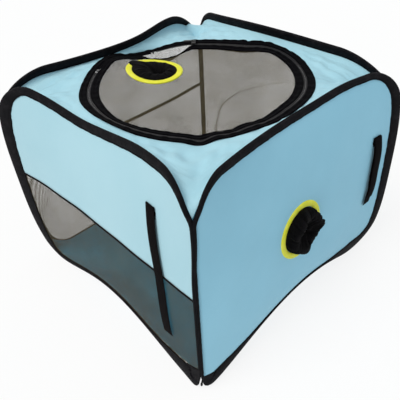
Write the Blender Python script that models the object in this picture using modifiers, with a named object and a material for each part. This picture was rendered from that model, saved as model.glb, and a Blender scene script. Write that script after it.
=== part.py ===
"""Foldable pet drying box: four spring-wire hoops in fabric edge binding carry the fabric and mesh walls.

Metres, +Z up. The origin is the centre of the floor, on the surface that the box stands on.
The front wall faces -Y, the right wall faces +X, the back wall faces +Y and the left wall faces -X.
Each wall's own frame has X along the wall, Y up and Z out of the box.
"""
import math

import bmesh
import bpy
from mathutils import Matrix, Vector

# Overall size
BOX_WIDTH = 0.600
BOX_HEIGHT = 0.515
GAP = 0.0003
FABRIC = 0.0008

# Spring-wire hoop and its edge binding
WIRE_RADIUS = 0.0015
WIRE_END_GAP = 0.001
FERRULE_RADIUS = 0.0023
FERRULE_LENGTH = 0.024
BINDING_RADIUS = 0.0045
BINDING_DEPTH = 0.0155
BINDING_LIP = 0.0020
TOP_CORNER_RADIUS = 0.092
BOTTOM_CORNER_RADIUS = 0.032
BOTTOM_ARCH = 0.072
FOOT_CLEARANCE = 0.00015

# Fold hinges at the four upright corners
HINGE_CLEARANCE = 0.00015
CORNER_SEAM_RADIUS = 0.0017

# Wall seams: the front wall's upper fabric ends here, and the left wall's band crosses here
SEAM_HEIGHT = 0.2835
FRONT_SEAM_WIDTH = 0.006
LEFT_BAND_WIDTH = 0.010

# Bound ports: the dryer port in the right wall and the hand port in the lid
PORT_RADIUS = 0.0634
PORT_BAND = 0.0135
PORT_THICKNESS = 0.0032
PORT_SLOT_DEPTH = 0.0078
DRYER_PORT_ALONG = -0.0235
DRYER_PORT_HEIGHT = 0.274
DRYER_PORT_OUT = 0.0115
LID_PORT_X = -0.118
LID_PORT_Y = -0.017

# The right panel: flat in its binding, by its strap and in the port's ring, and swelled out between them
PANEL_SWELL = 0.020
PANEL_TUCK = 0.0326
PANEL_FLAT_EDGE = 0.019
PANEL_STRAP_MARGIN = 0.034
PANEL_EASE = 0.085
PANEL_STEP = 0.070
PANEL_SHARES = (0.0, 0.13, 0.28, 0.46, 0.64, 0.82, 1.0)
PORT_FLAT_RADIUS = 0.0672
PORT_EASE = 0.060
PORT_FACET_ROOM = 0.0012

# Gathered sleeve of the dryer port
SLEEVE_LENGTH = 0.030
SLEEVE_MOUTH_RADIUS = 0.030
SLEEVE_DROP = 0.008
SLEEVE_FOLDS = 9
SLEEVE_FOLD_DEPTH = 0.0052
SLEEVE_THICKNESS = 0.001
ELASTIC_RADIUS = 0.0018

# Gathered cuff of the hand port
CUFF_LENGTH = 0.009
CUFF_MOUTH_RADIUS = 0.032
CUFF_FOLDS = 10
CUFF_FOLD_DEPTH = 0.0016

# Round zipped window in the top
WINDOW_DROP = 0.0245
ZIP_RADIUS = 0.2245
COIL_GAP = 0.0016
COIL_WIDTH = 0.0022
COIL_HEIGHT = 0.0022
OUTER_TAPE_WIDTH = 0.0165
LID_TAPE_WIDTH = 0.0176
LID_HINGE_AZIMUTH = math.radians(188)
LID_HINGE_HALF_ANGLE = math.radians(22)
COIL_END_MARGIN = math.radians(3.5)
ZIP_STOP_LENGTH = 0.004
ZIP_STOP_HEIGHT = 0.003
SLIDER_AZIMUTH = math.radians(138)

# Zip slider and its pull tab
SLIDER_LENGTH = 0.011
SLIDER_WIDTH = 0.0095
SLIDER_PLATE = 0.0012
SLIDER_PLATE_CLEARANCE = 0.0004
SLIDER_POST_LENGTH = 0.0025
SLIDER_POST_WIDTH = 0.0010
CROWN_WIDTH = 0.0024
CROWN_THICKNESS = 0.0011
CROWN_OPENING = 0.0056
CROWN_CLEAR_HEIGHT = 0.0026
TAB_LENGTH = 0.024
TAB_WIDTH = 0.0068
TAB_THICKNESS = 0.0012
TAB_BAR = 0.0013
TAB_WINDOW_WIDTH = 0.0034

# Storage straps sewn to the front and right walls
STRAP_WIDTH = 0.025
STRAP_THICKNESS = 0.0012
STRAP_ANCHOR_LENGTH = 0.020
FRONT_STRAP_INSET = 0.0682
FRONT_STRAP_DROP = 0.058
FRONT_STRAP_LENGTH = 0.307
FRONT_STRAP_BOW = 0.004
RIGHT_STRAP_INSET = 0.0482
RIGHT_STRAP_DROP = 0.147
RIGHT_STRAP_LENGTH = 0.175
RIGHT_STRAP_BOW = 0.003
RIGHT_COVER_BOW = 0.008

# Floor panel: its flat middle lies on the surface
FLOOR_FLAT_HALF = 0.190
FLOOR_FLAT_CORNER = 0.070

# Steps round the curves
CORNER_STEPS = 6
LOW_CORNER_STEPS = 4
ARCH_STEPS = 10
TOP_STEPS = 12
PORT_STEPS = 32
CUFF_STEPS = 40
ELASTIC_STEPS = 24
ZIP_STEPS = 54
SLEEVE_STEPS = 54
STRAP_STEPS = 8
RIGHT_COVER_STEPS = 6

# Sizes that follow from those above
FOLD_PIVOT = BOX_WIDTH / 2 - 2 * BINDING_RADIUS - HINGE_CLEARANCE
WALL_PLANE = FOLD_PIVOT + BINDING_RADIUS + HINGE_CLEARANCE
HOOP_HALF = FOLD_PIVOT - BINDING_RADIUS - HINGE_CLEARANCE
HOOP_TOP = BOX_HEIGHT - BINDING_RADIUS
HOOP_BOTTOM = BINDING_RADIUS + FOOT_CLEARANCE
WINDOW_HEIGHT = BOX_HEIGHT - WINDOW_DROP
FRONT_STRAP_PLACE = (HOOP_HALF - FRONT_STRAP_INSET, BOX_HEIGHT - FRONT_STRAP_DROP)
RIGHT_STRAP_PLACE = (HOOP_HALF - RIGHT_STRAP_INSET, BOX_HEIGHT - RIGHT_STRAP_DROP)
SLOT_HALF = FABRIC / 2 + GAP
CAVITY_RADIUS = (FERRULE_RADIUS + GAP) / math.cos(math.pi / 8)
PANEL_INSET = FERRULE_RADIUS + GAP
PORT_INNER = PORT_RADIUS - PORT_BAND
PORT_HOLE = PORT_RADIUS - PORT_SLOT_DEPTH + GAP
INNER_SHEET_PLANE = WALL_PLANE - BINDING_RADIUS - GAP - FABRIC / 2
LID_HINGE_DISTANCE = ZIP_RADIUS * math.cos(LID_HINGE_HALF_ANGLE)
ZIP_START = LID_HINGE_AZIMUTH - 2 * math.pi + LID_HINGE_HALF_ANGLE + COIL_END_MARGIN
ZIP_END = LID_HINGE_AZIMUTH - LID_HINGE_HALF_ANGLE - COIL_END_MARGIN
ZIP_FACET = math.cos(math.pi / ZIP_STEPS)
OUTER_COIL_INNER = (ZIP_RADIUS + COIL_GAP / 2) / math.cos((ZIP_END - ZIP_START) / ZIP_STEPS / 2)
OUTER_COIL_OUTER = OUTER_COIL_INNER + COIL_WIDTH
OUTER_TAPE_INNER = (OUTER_COIL_OUTER + GAP) / ZIP_FACET
OUTER_TAPE_OUTER = OUTER_TAPE_INNER + OUTER_TAPE_WIDTH
LID_COIL_OUTER = ZIP_RADIUS - COIL_GAP / 2
LID_COIL_INNER = LID_COIL_OUTER - COIL_WIDTH
LID_TAPE_OUTER = LID_COIL_INNER * ZIP_FACET - GAP
LID_TAPE_INNER = LID_TAPE_OUTER - LID_TAPE_WIDTH

for old in list(bpy.data.objects):
    bpy.data.objects.remove(old, do_unlink=True)

parts = bpy.data.collections.new("pet_drying_box")
guides = bpy.data.collections.new("guides")
bpy.context.scene.collection.children.link(parts)
bpy.context.scene.collection.children.link(guides)


def material(name, color, roughness, metallic=0.0):
    """A Principled material with a linear base colour."""
    found = bpy.data.materials.new(name)
    found.use_nodes = True
    shader = found.node_tree.nodes["Principled BSDF"]
    shader.inputs["Base Color"].default_value = (*color, 1.0)
    shader.inputs["Roughness"].default_value = roughness
    shader.inputs["Metallic"].default_value = metallic
    found.diffuse_color = (*color, 1.0)
    return found


def empty(name, location, parent=None):
    """An empty on a joint's axis, which carries a moving body."""
    found = bpy.data.objects.new(name, None)
    guides.objects.link(found)
    found.matrix_world = Matrix.Translation(location)
    if parent:
        attach(found, parent)
    return found


def attach(piece, parent):
    """Parents a piece and leaves it where it stands."""
    bpy.context.view_layer.update()
    piece.parent = parent
    piece.matrix_parent_inverse = parent.matrix_world.inverted()
    bpy.context.view_layer.update()


def add(name, data, finish, place=None, parent=None):
    """A named part with its own material, placed in the world and carried by its body's empty."""
    piece = bpy.data.objects.new(name, data)
    parts.objects.link(piece)
    data.materials.append(material(name, *finish))
    piece.matrix_world = place or Matrix.Identity(4)
    if parent:
        attach(piece, parent)
    return piece


# Places: the frame of a wall, of the round window and of the lid's hand port

def wall_place(quarter_turns):
    """The wall's frame in the world: front 0, right 1, back 2, left 3."""
    turn = Matrix.Rotation(quarter_turns * math.pi / 2, 4, "Z")
    stand = Matrix.Rotation(math.pi / 2, 4, "X")
    return turn @ Matrix.Translation((0, -WALL_PLANE, 0)) @ stand


WALLS = {"front": wall_place(0), "right": wall_place(1), "back": wall_place(2), "left": wall_place(3)}
WINDOW = Matrix.Translation((0, 0, WINDOW_HEIGHT))
LID_PORT = Matrix.Translation((LID_PORT_X, LID_PORT_Y, WINDOW_HEIGHT))
DRYER_PORT = WALLS["right"] @ Matrix.Translation((DRYER_PORT_ALONG, DRYER_PORT_HEIGHT, DRYER_PORT_OUT))


# Outlines

def arc(centre, radius, start, end, steps):
    """Points on an arc, both ends included."""
    found = []
    for i in range(steps + 1):
        angle = start + (end - start) * i / steps
        found.append((centre[0] + radius * math.cos(angle), centre[1] + radius * math.sin(angle)))
    return found


def arch_height(along):
    """How far the hoop's bottom run rises above its feet."""
    reach = HOOP_HALF - BOTTOM_CORNER_RADIUS
    share = max(0.0, 1 - (along / reach) ** 2)
    return BOTTOM_ARCH * share ** 1.5


def hoop_outline(inset=0.0):
    """The closed hoop in its wall's frame, set in from the wire, from the top middle round by the left side."""
    top_centre = HOOP_HALF - TOP_CORNER_RADIUS
    top_level = HOOP_TOP - TOP_CORNER_RADIUS
    low_centre = HOOP_HALF - BOTTOM_CORNER_RADIUS
    low_level = HOOP_BOTTOM + BOTTOM_CORNER_RADIUS
    top_radius = TOP_CORNER_RADIUS - inset
    low_radius = BOTTOM_CORNER_RADIUS - inset
    quarter = math.pi / 2
    points = [(0.0, HOOP_TOP - inset)]
    points += arc((-top_centre, top_level), top_radius, quarter, 2 * quarter, CORNER_STEPS)
    points += arc((-low_centre, low_level), low_radius, 2 * quarter, 3 * quarter, LOW_CORNER_STEPS)
    for i in range(1, ARCH_STEPS):
        along = low_centre * (2 * i / ARCH_STEPS - 1)
        points.append((along, HOOP_BOTTOM + inset + arch_height(along)))
    points += arc((low_centre, low_level), low_radius, 3 * quarter, 4 * quarter, LOW_CORNER_STEPS)
    points += arc((top_centre, top_level), top_radius, 0.0, quarter, CORNER_STEPS)
    return points


def clipped(points, axis, level, keep_above):
    """The part of a closed outline on one side of a level of its first or second coordinate."""
    sign = 1 if keep_above else -1
    found = []
    for a, b in zip(points, points[1:] + points[:1]):
        side_a = sign * (a[axis] - level)
        side_b = sign * (b[axis] - level)
        if side_a >= 0:
            found.append(a)
        if side_a * side_b < 0:
            share = side_a / (side_a - side_b)
            found.append((a[0] + (b[0] - a[0]) * share, a[1] + (b[1] - a[1]) * share))
    return found


def circle(radius, steps, centre=(0.0, 0.0)):
    """A closed circle."""
    return arc(centre, radius, 0.0, 2 * math.pi, steps)[:-1]


def rectangle(half_x, half_y):
    """A closed rectangle about the origin."""
    return [(-half_x, -half_y), (half_x, -half_y), (half_x, half_y), (-half_x, half_y)]


# Solids

def spline(curve, points, cyclic):
    """Adds one POLY spline through points of two or three coordinates."""
    found = curve.splines.new("POLY")
    found.points.add(len(points) - 1)
    for point, place in zip(found.points, points):
        point.co = (*place, 0.0, 1.0) if len(place) == 2 else (*place, 1.0)
    found.use_cyclic_u = cyclic


def sheet(name, outlines, thickness):
    """A flat sheet: the first outline, less the others, about its frame's XY plane."""
    curve = bpy.data.curves.new(name, "CURVE")
    curve.dimensions = "2D"
    curve.fill_mode = "BOTH"
    curve.extrude = thickness / 2
    for outline in outlines:
        spline(curve, outline, True)
    return curve


def tube(name, points, radius, cyclic, resolution):
    """A round tube along a path."""
    curve = bpy.data.curves.new(name, "CURVE")
    curve.dimensions = "3D"
    curve.bevel_depth = radius
    curve.bevel_resolution = resolution
    curve.use_fill_caps = True
    spline(curve, points, cyclic)
    return curve


def swept(name, points, profile):
    """A closed profile carried round a closed flat path: its X points out of the loop and its Y along +Z."""
    guide_curve = bpy.data.curves.new(name + "_profile", "CURVE")
    guide_curve.dimensions = "2D"
    guide_curve.fill_mode = "NONE"
    spline(guide_curve, [(-out, side) for out, side in reversed(profile)], True)
    guide = bpy.data.objects.new(name + "_profile", guide_curve)
    guide.hide_render = True
    guide.display_type = "WIRE"
    guides.objects.link(guide)
    curve = bpy.data.curves.new(name, "CURVE")
    curve.dimensions = "2D"
    curve.fill_mode = "NONE"
    curve.bevel_mode = "OBJECT"
    curve.bevel_object = guide
    spline(curve, points, True)
    return curve


def turned(piece, steps):
    """Turns a piece's profile round its frame's Z axis."""
    screw = piece.modifiers.new("turn", "SCREW")
    screw.angle = 2 * math.pi
    screw.steps = steps
    screw.render_steps = steps
    screw.use_merge_vertices = True
    screw.merge_threshold = 0.00001
    screw.use_normal_calculate = False


def profile_mesh(name, points):
    """A closed profile of edges in the frame's XZ plane."""
    mesh = bpy.data.meshes.new(name)
    edges = [(i, (i + 1) % len(points)) for i in range(len(points))]
    mesh.from_pydata([(x, 0.0, z) for x, z in points], edges, [])
    return mesh


def loft(name, rings, close_end=False):
    """An open surface through rings of equal point counts, each ring closed on itself."""
    count = len(rings[0])
    vertices = [point for ring in rings for point in ring]
    faces = []
    for r in range(len(rings) - 1):
        for i in range(count):
            j = (i + 1) % count
            faces.append((r * count + i, r * count + j, (r + 1) * count + j, (r + 1) * count + i))
    if close_end:
        faces.append([(len(rings) - 1) * count + i for i in range(count)])
    mesh = bpy.data.meshes.new(name)
    mesh.from_pydata(vertices, [], faces)
    mesh.shade_smooth()
    return mesh


def thicken(piece, thickness):
    """Makes an open surface a shell of even thickness about itself."""
    solid = piece.modifiers.new("thickness", "SOLIDIFY")
    solid.thickness = thickness
    solid.offset = 0.0


def block(name, size, centre):
    """A box of the given size about a centre, as a mesh."""
    mesh = bpy.data.meshes.new(name)
    shape = bmesh.new()
    bmesh.ops.create_cube(shape, size=1.0, matrix=Matrix.Translation(centre) @ Matrix.Diagonal((*size, 1.0)))
    shape.to_mesh(mesh)
    shape.free()
    return mesh


def united(piece, others):
    """Joins other blocks to a piece with Boolean unions."""
    for number, mesh in enumerate(others):
        other = bpy.data.objects.new(f"{piece.name}_block_{number}", mesh)
        guides.objects.link(other)
        other.matrix_world = piece.matrix_world
        other.hide_render = True
        other.display_type = "WIRE"
        join = piece.modifiers.new(f"join_{number}", "BOOLEAN")
        join.operation = "UNION"
        join.object = other


def strap_outline(step, count, bows, lift):
    """The side view of a hanging strap in even steps: each bow is how far it stands out, and over what length."""
    inner = []
    for i in range(count + 1):
        down = step * i
        out = sum(bow * math.sin(math.pi * min(1.0, down / span)) ** 2 for bow, span in bows)
        inner.append((-down, lift + out))
    outer = [(down, out + STRAP_THICKNESS) for down, out in inner]
    return inner + outer[::-1]


# Finishes: linear base colour, roughness and metallic value
LIGHT_BLUE = ((0.47, 0.69, 0.76), 0.62)
SIDE_BLUE = ((0.47, 0.69, 0.76), 0.62)
BLACK_BINDING = ((0.018, 0.017, 0.018), 0.72)
BLACK_MESH = ((0.03, 0.03, 0.03), 0.75)
BLACK_WEBBING = ((0.010, 0.009, 0.010), 0.78)
BLACK_FABRIC = ((0.012, 0.012, 0.013), 0.70)
BLACK_COIL = ((0.015, 0.015, 0.016), 0.40)
YELLOW_TAPE = ((0.85, 0.80, 0.08), 0.65)
SPRING_STEEL = ((0.42, 0.42, 0.43), 0.35, 1.0)
BLACK_METAL = ((0.02, 0.02, 0.02), 0.35, 1.0)

# Bodies: the back wall carries the top, the floor and the fixed half of the zip
right_body = empty("right_wall_hinge", (FOLD_PIVOT, FOLD_PIVOT, 0))
front_body = empty("front_wall_hinge", (FOLD_PIVOT, -FOLD_PIVOT, 0), right_body)
left_body = empty("left_wall_hinge", (-FOLD_PIVOT, FOLD_PIVOT, 0))
hinge_reach = LID_HINGE_DISTANCE + GAP / 2
lid_hinge_at = Vector((
    hinge_reach * math.cos(LID_HINGE_AZIMUTH),
    hinge_reach * math.sin(LID_HINGE_AZIMUTH),
    WINDOW_HEIGHT + FABRIC / 2,
))
lid_body = empty("lid_hinge", lid_hinge_at)
slider_body = empty("zip_slider_track", (0, 0, WINDOW_HEIGHT))
BODIES = {"front": front_body, "right": right_body, "back": None, "left": left_body}


# Hoops: wire, ferrule and binding of each wall

def binding_profile():
    """The binding's C section: round over the wire, then two legs that pinch the wall's fabric."""
    diagonal = math.sqrt(0.5)
    outer = [
        (-BINDING_DEPTH, BINDING_LIP),
        (0.0, BINDING_RADIUS),
        (BINDING_RADIUS * diagonal, BINDING_RADIUS * diagonal),
        (BINDING_RADIUS, 0.0),
        (BINDING_RADIUS * diagonal, -BINDING_RADIUS * diagonal),
        (0.0, -BINDING_RADIUS),
        (-BINDING_DEPTH, -BINDING_LIP),
    ]
    neck = -math.sqrt(CAVITY_RADIUS ** 2 - SLOT_HALF ** 2)
    inner = [(-BINDING_DEPTH, -SLOT_HALF), (neck, -SLOT_HALF)]
    inner += arc((0, 0), CAVITY_RADIUS, -0.75 * math.pi, 0.75 * math.pi, 6)
    inner += [(neck, SLOT_HALF), (-BINDING_DEPTH, SLOT_HALF)]
    return outer + inner


def make_hoop(wall):
    """One wall's spring-wire hoop, its crimped ferrule and its binding."""
    place, body = WALLS[wall], BODIES[wall]
    outline = hoop_outline()
    half_gap = WIRE_END_GAP / 2
    wire_path = [(-half_gap, HOOP_TOP)] + outline[1:] + [(half_gap, HOOP_TOP)]
    add(f"hoop_wire_{wall}", tube("wire", wire_path, WIRE_RADIUS, False, 1), SPRING_STEEL, place, body)
    bore = WIRE_RADIUS + GAP
    half_length = FERRULE_LENGTH / 2
    section = [
        (FERRULE_RADIUS, half_length),
        (FERRULE_RADIUS, -half_length),
        (bore, -half_length),
        (bore, half_length),
    ]
    on_wire = place @ Matrix.Translation((0, HOOP_TOP, 0)) @ Matrix.Rotation(math.pi / 2, 4, "Y")
    ferrule = add(f"hoop_ferrule_{wall}", profile_mesh("ferrule", section), SPRING_STEEL, on_wire, body)
    turned(ferrule, 12)
    binding = swept(f"edge_binding_{wall}", outline, binding_profile())
    add(f"edge_binding_{wall}", binding, BLACK_BINDING, place, body)


# Walls

def wall_sheet(wall, name, finish, outlines, thickness=FABRIC):
    """A flat panel of a wall, held in its binding."""
    add(name, sheet(name, outlines, thickness), finish, WALLS[wall], BODIES[wall])


def make_walls():
    """Panels, mesh windows and cross seams of the four walls."""
    full = hoop_outline(PANEL_INSET)
    half_seam = FRONT_SEAM_WIDTH / 2
    half_band = LEFT_BAND_WIDTH / 2
    wall_sheet("front", "front_upper_panel", LIGHT_BLUE, [clipped(full, 1, SEAM_HEIGHT + half_seam + GAP, True)])
    wall_sheet("front", "front_mesh_window", BLACK_MESH, [clipped(full, 1, SEAM_HEIGHT - half_seam - GAP, False)])
    strip = clipped(clipped(full, 1, SEAM_HEIGHT - half_seam, True), 1, SEAM_HEIGHT + half_seam, False)
    wall_sheet("front", "front_seam_tape", BLACK_BINDING, [strip])
    make_right_panel()
    wall_sheet("back", "back_mesh_panel", BLACK_MESH, [full])
    wall_sheet("left", "left_upper_mesh", BLACK_MESH, [clipped(full, 1, SEAM_HEIGHT + half_band + GAP, True)])
    wall_sheet("left", "left_lower_mesh", BLACK_MESH, [clipped(full, 1, SEAM_HEIGHT - half_band - GAP, False)])
    band = clipped(clipped(full, 1, SEAM_HEIGHT - half_band, True), 1, SEAM_HEIGHT + half_band, False)
    wall_sheet("left", "left_cross_band", BLACK_BINDING, [band])


def eased(share):
    """A smooth step from 0 to 1."""
    share = min(1.0, max(0.0, share))
    return share * share * (3 - 2 * share)


def panel_swell(along, height):
    """How far the right panel stands out of its wall's plane at a place on it."""
    share = (height - HOOP_BOTTOM) / (HOOP_TOP - HOOP_BOTTOM)
    middle = 1 - (along / HOOP_HALF) ** 2
    swell = 4 * PANEL_SWELL * share * (1 - share) - PANEL_TUCK * middle * share ** 2
    side = HOOP_HALF - PANEL_FLAT_EDGE
    beside_strap = HOOP_HALF - RIGHT_STRAP_INSET - STRAP_WIDTH / 2 - PANEL_STRAP_MARGIN + PANEL_FLAT_EDGE / 2
    room = [
        side + along,
        beside_strap - along,
        HOOP_TOP - PANEL_FLAT_EDGE - height,
        height - HOOP_BOTTOM - arch_height(along) - PANEL_FLAT_EDGE,
    ]
    for distance in room:
        swell *= eased(distance / PANEL_EASE)
    from_port = math.dist((along, height), (DRYER_PORT_ALONG, DRYER_PORT_HEIGHT)) - PORT_FLAT_RADIUS
    return DRYER_PORT_OUT + (swell - DRYER_PORT_OUT) * eased(from_port / PORT_EASE)


def spaced(points, counts):
    """A closed outline with extra points on its longer stretches."""
    found = []
    for a, b, count in zip(points, points[1:] + points[:1], counts):
        for i in range(count):
            found.append((a[0] + (b[0] - a[0]) * i / count, a[1] + (b[1] - a[1]) * i / count))
    return found


def make_right_panel():
    """The right wall's cloth, lofted from its edge in the binding to the round hole in the port's ring."""
    wire = hoop_outline()
    counts = [max(1, round(math.dist(a, b) / PANEL_STEP)) for a, b in zip(wire, wire[1:] + wire[:1])]
    edge = spaced(hoop_outline(PANEL_INSET), counts)
    flat = spaced(hoop_outline(PANEL_FLAT_EDGE), counts)
    bearings = [math.atan2(height - DRYER_PORT_HEIGHT, along - DRYER_PORT_ALONG) for along, height in flat]
    rim = [
        (
            DRYER_PORT_ALONG + PORT_FLAT_RADIUS * math.cos(bearing),
            DRYER_PORT_HEIGHT + PORT_FLAT_RADIUS * math.sin(bearing),
        )
        for bearing in bearings
    ]
    rings = [[Vector((along, height, 0)) for along, height in edge]]
    for share in PANEL_SHARES:
        ring = [Vector(a).lerp(Vector(b), share) for a, b in zip(flat, rim)]
        rings.append([Vector((x, y, panel_swell(x, y) if share else 0.0)) for x, y in ring])
    reach = PORT_HOLE + PORT_FACET_ROOM
    hole = [(reach * math.cos(bearing), reach * math.sin(bearing)) for bearing in bearings]
    rings.append([Vector((DRYER_PORT_ALONG + x, DRYER_PORT_HEIGHT + y, DRYER_PORT_OUT)) for x, y in hole])
    panel = add("right_panel", loft("right_panel", rings), SIDE_BLUE, WALLS["right"], BODIES["right"])
    thicken(panel, FABRIC)


def make_corner_seams():
    """The stitched edge that joins two walls' bindings at each upright corner, on its fold axis."""
    low = HOOP_BOTTOM + BOTTOM_CORNER_RADIUS + BINDING_RADIUS
    high = HOOP_TOP - TOP_CORNER_RADIUS - BINDING_RADIUS
    corners = {
        "corner_seam_front_right": (1, -1, "right"),
        "corner_seam_back_right": (1, 1, "back"),
        "corner_seam_back_left": (-1, 1, "back"),
        "corner_seam_front_left": (-1, -1, "left"),
    }
    for name, (side, depth, body) in corners.items():
        points = [(side * FOLD_PIVOT, depth * FOLD_PIVOT, z) for z in (low, high)]
        add(name, tube(name, points, CORNER_SEAM_RADIUS, False, 1), BLACK_BINDING, None, BODIES[body])


# Top and floor: fabric lofted from the hoops to the window and to the flat of the floor

def round_the_walls(run):
    """Carries one wall's run of (along, height) points round all four walls, on the bindings' inner faces."""
    ring = []
    for quarter in range(4):
        turn = Matrix.Rotation(quarter * math.pi / 2, 4, "Z")
        ring += [turn @ Vector((along, -INNER_SHEET_PLANE, height)) for along, height in run]
    return ring


def between(a, b, share, lift=0.0):
    """A ring part of the way from ring a to ring b, raised by lift."""
    return [p.lerp(q, share) + Vector((0, 0, lift)) for p, q in zip(a, b)]


def top_edge():
    """The top's outer edge: down round each hoop's corners and along its top run."""
    reach = HOOP_HALF - TOP_CORNER_RADIUS
    level = HOOP_TOP - TOP_CORNER_RADIUS
    run = arc((-reach, level), TOP_CORNER_RADIUS, math.pi, math.pi / 2, CORNER_STEPS)
    run += [(reach * (2 * i / TOP_STEPS - 1), HOOP_TOP) for i in range(1, TOP_STEPS)]
    run += arc((reach, level), TOP_CORNER_RADIUS, math.pi / 2, 0.0, CORNER_STEPS)
    return round_the_walls(run)


def window_outline(radius):
    """The window's edge, with its points in line with those of the top's outer edge."""
    azimuths = [math.atan2(point.y, point.x) for point in top_edge()]
    return [(radius * math.cos(azimuth), radius * math.sin(azimuth)) for azimuth in azimuths]


def make_top():
    """The blue top, with a tip that goes down between two hoops at each corner and a round hole for the window."""
    outer = top_edge()
    inner = [Vector((x, y, WINDOW_HEIGHT)) for x, y in window_outline(OUTER_TAPE_OUTER + GAP)]
    rings = [outer, between(outer, inner, 0.5), inner]
    thicken(add("top_panel", loft("top_panel", rings), LIGHT_BLUE), FABRIC)


def make_floor():
    """The blue floor: flat where it lies on the ground, rising at its edges to the hoops' bottom runs."""
    reach = HOOP_HALF - BOTTOM_CORNER_RADIUS
    level = HOOP_BOTTOM + BOTTOM_CORNER_RADIUS
    run = arc((-reach, level), BOTTOM_CORNER_RADIUS, math.pi, 1.5 * math.pi, LOW_CORNER_STEPS)
    for i in range(1, ARCH_STEPS):
        along = reach * (2 * i / ARCH_STEPS - 1)
        run.append((along, HOOP_BOTTOM + arch_height(along)))
    run += arc((reach, level), BOTTOM_CORNER_RADIUS, 1.5 * math.pi, 2 * math.pi, LOW_CORNER_STEPS)
    outer = round_the_walls(run)
    flat = []
    straight = FLOOR_FLAT_HALF - FLOOR_FLAT_CORNER
    for point in outer:
        longest = max(abs(point.x), abs(point.y))
        x = point.x / longest * FLOOR_FLAT_HALF
        y = point.y / longest * FLOOR_FLAT_HALF
        over = Vector((max(0.0, abs(x) - straight), max(0.0, abs(y) - straight)))
        pull = min(1.0, FLOOR_FLAT_CORNER / over.length)
        x = math.copysign(min(abs(x), straight) + over.x * pull, x)
        y = math.copysign(min(abs(y), straight) + over.y * pull, y)
        flat.append(Vector((x, y, FABRIC / 2)))
    middle = between(outer, flat, 0.5)
    for point, edge in zip(middle, outer):
        point.z = FABRIC / 2 + (edge.z - FABRIC / 2) * 0.32
    thicken(add("floor_panel", loft("floor_panel", [outer, middle, flat], True), LIGHT_BLUE), FABRIC)


# Ports: a bound ring that pinches the cloth, and gathered cloth on an elastic

def port_section():
    """The C section of a port's binding, open outwards for the cloth's edge."""
    half = PORT_THICKNESS / 2
    slot = PORT_RADIUS - PORT_SLOT_DEPTH
    return [
        (PORT_INNER, half),
        (PORT_RADIUS, half),
        (PORT_RADIUS, SLOT_HALF),
        (slot, SLOT_HALF),
        (slot, -SLOT_HALF),
        (PORT_RADIUS, -SLOT_HALF),
        (PORT_RADIUS, -half),
        (PORT_INNER, -half),
    ]


def gathered_ring(radius, folds, depth, out, centre, steps, twist=0.0):
    """A ring of cloth thrown into folds, in the port's frame."""
    ring = []
    for i in range(steps):
        angle = 2 * math.pi * i / steps
        wave = math.cos(folds * angle + twist) + 0.35 * math.cos((folds - 4) * angle + 1.0)
        size = radius + depth * wave
        ring.append(Vector((centre[0] + size * math.cos(angle), centre[1] + size * math.sin(angle), out)))
    return ring


def make_dryer_port():
    """The yellow bound port of the right wall with its gathered sleeve outside, which hangs a little."""
    ring = add("dryer_port_ring", profile_mesh("port", port_section()), YELLOW_TAPE, DRYER_PORT, right_body)
    turned(ring, PORT_STEPS)
    root = PORT_INNER - GAP - SLEEVE_THICKNESS
    rings = []
    stations = 6
    for i in range(stations):
        share = i / (stations - 1)
        swell = 0.002 * math.sin(math.pi * share)
        radius = root + (SLEEVE_MOUTH_RADIUS - root) * share ** 1.6 + swell
        depth = SLEEVE_FOLD_DEPTH * math.sin(math.pi * min(1.0, 0.08 + share) * 0.62) * share
        drop = -SLEEVE_DROP * share ** 2
        rings.append(gathered_ring(radius, SLEEVE_FOLDS, depth, SLEEVE_LENGTH * share, (0, drop), SLEEVE_STEPS, share))
    sleeve = add("dryer_sleeve", loft("dryer_sleeve", rings), BLACK_FABRIC, DRYER_PORT, right_body)
    thicken(sleeve, SLEEVE_THICKNESS)
    mouth = SLEEVE_LENGTH + ELASTIC_RADIUS + SLEEVE_THICKNESS
    loop = [(x, y - SLEEVE_DROP, mouth) for x, y in circle(SLEEVE_MOUTH_RADIUS, ELASTIC_STEPS)]
    add("dryer_sleeve_elastic", tube("elastic", loop, ELASTIC_RADIUS, True, 1), BLACK_WEBBING, DRYER_PORT, right_body)


def make_lid_port():
    """The yellow bound hand port of the lid with its gathered cuff below."""
    ring = add("lid_port_ring", profile_mesh("port", port_section()), YELLOW_TAPE, LID_PORT, lid_body)
    turned(ring, PORT_STEPS)
    root = PORT_INNER - GAP - FABRIC
    rings = []
    for share in (0.0, 0.5, 1.0):
        radius = root + (CUFF_MOUTH_RADIUS - root) * share
        depth = CUFF_FOLD_DEPTH * share
        rings.append(gathered_ring(radius, CUFF_FOLDS, depth, -CUFF_LENGTH * share, (0, 0), CUFF_STEPS))
    cuff = add("lid_port_cuff", loft("lid_port_cuff", rings), BLACK_FABRIC, LID_PORT, lid_body)
    thicken(cuff, FABRIC)
    mouth = -CUFF_LENGTH - ELASTIC_RADIUS - FABRIC
    loop = [(x, y, mouth) for x, y in circle(CUFF_MOUTH_RADIUS, ELASTIC_STEPS)]
    add("lid_port_elastic", tube("elastic", loop, ELASTIC_RADIUS, True, 1), BLACK_WEBBING, LID_PORT, lid_body)


# Round window: zip, lid and hinge

def hinge_cut(radius, distance, keep_lid):
    """A circle cut by a line across the hinge side: the lid's side of it, or the hinge's side."""
    spread = math.acos(distance / radius)
    if keep_lid:
        start = LID_HINGE_AZIMUTH + spread
        return arc((0, 0), radius, start, start + 2 * (math.pi - spread), ZIP_STEPS)
    start = LID_HINGE_AZIMUTH - spread
    return arc((0, 0), radius, start, start + 2 * spread, 12)


def coil_outline(inner, outer):
    """A coil's run along the zip, as a flat band."""
    there = arc((0, 0), outer, ZIP_START, ZIP_END, ZIP_STEPS)
    back = arc((0, 0), inner, ZIP_END, ZIP_START, ZIP_STEPS)
    return there + back


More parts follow.
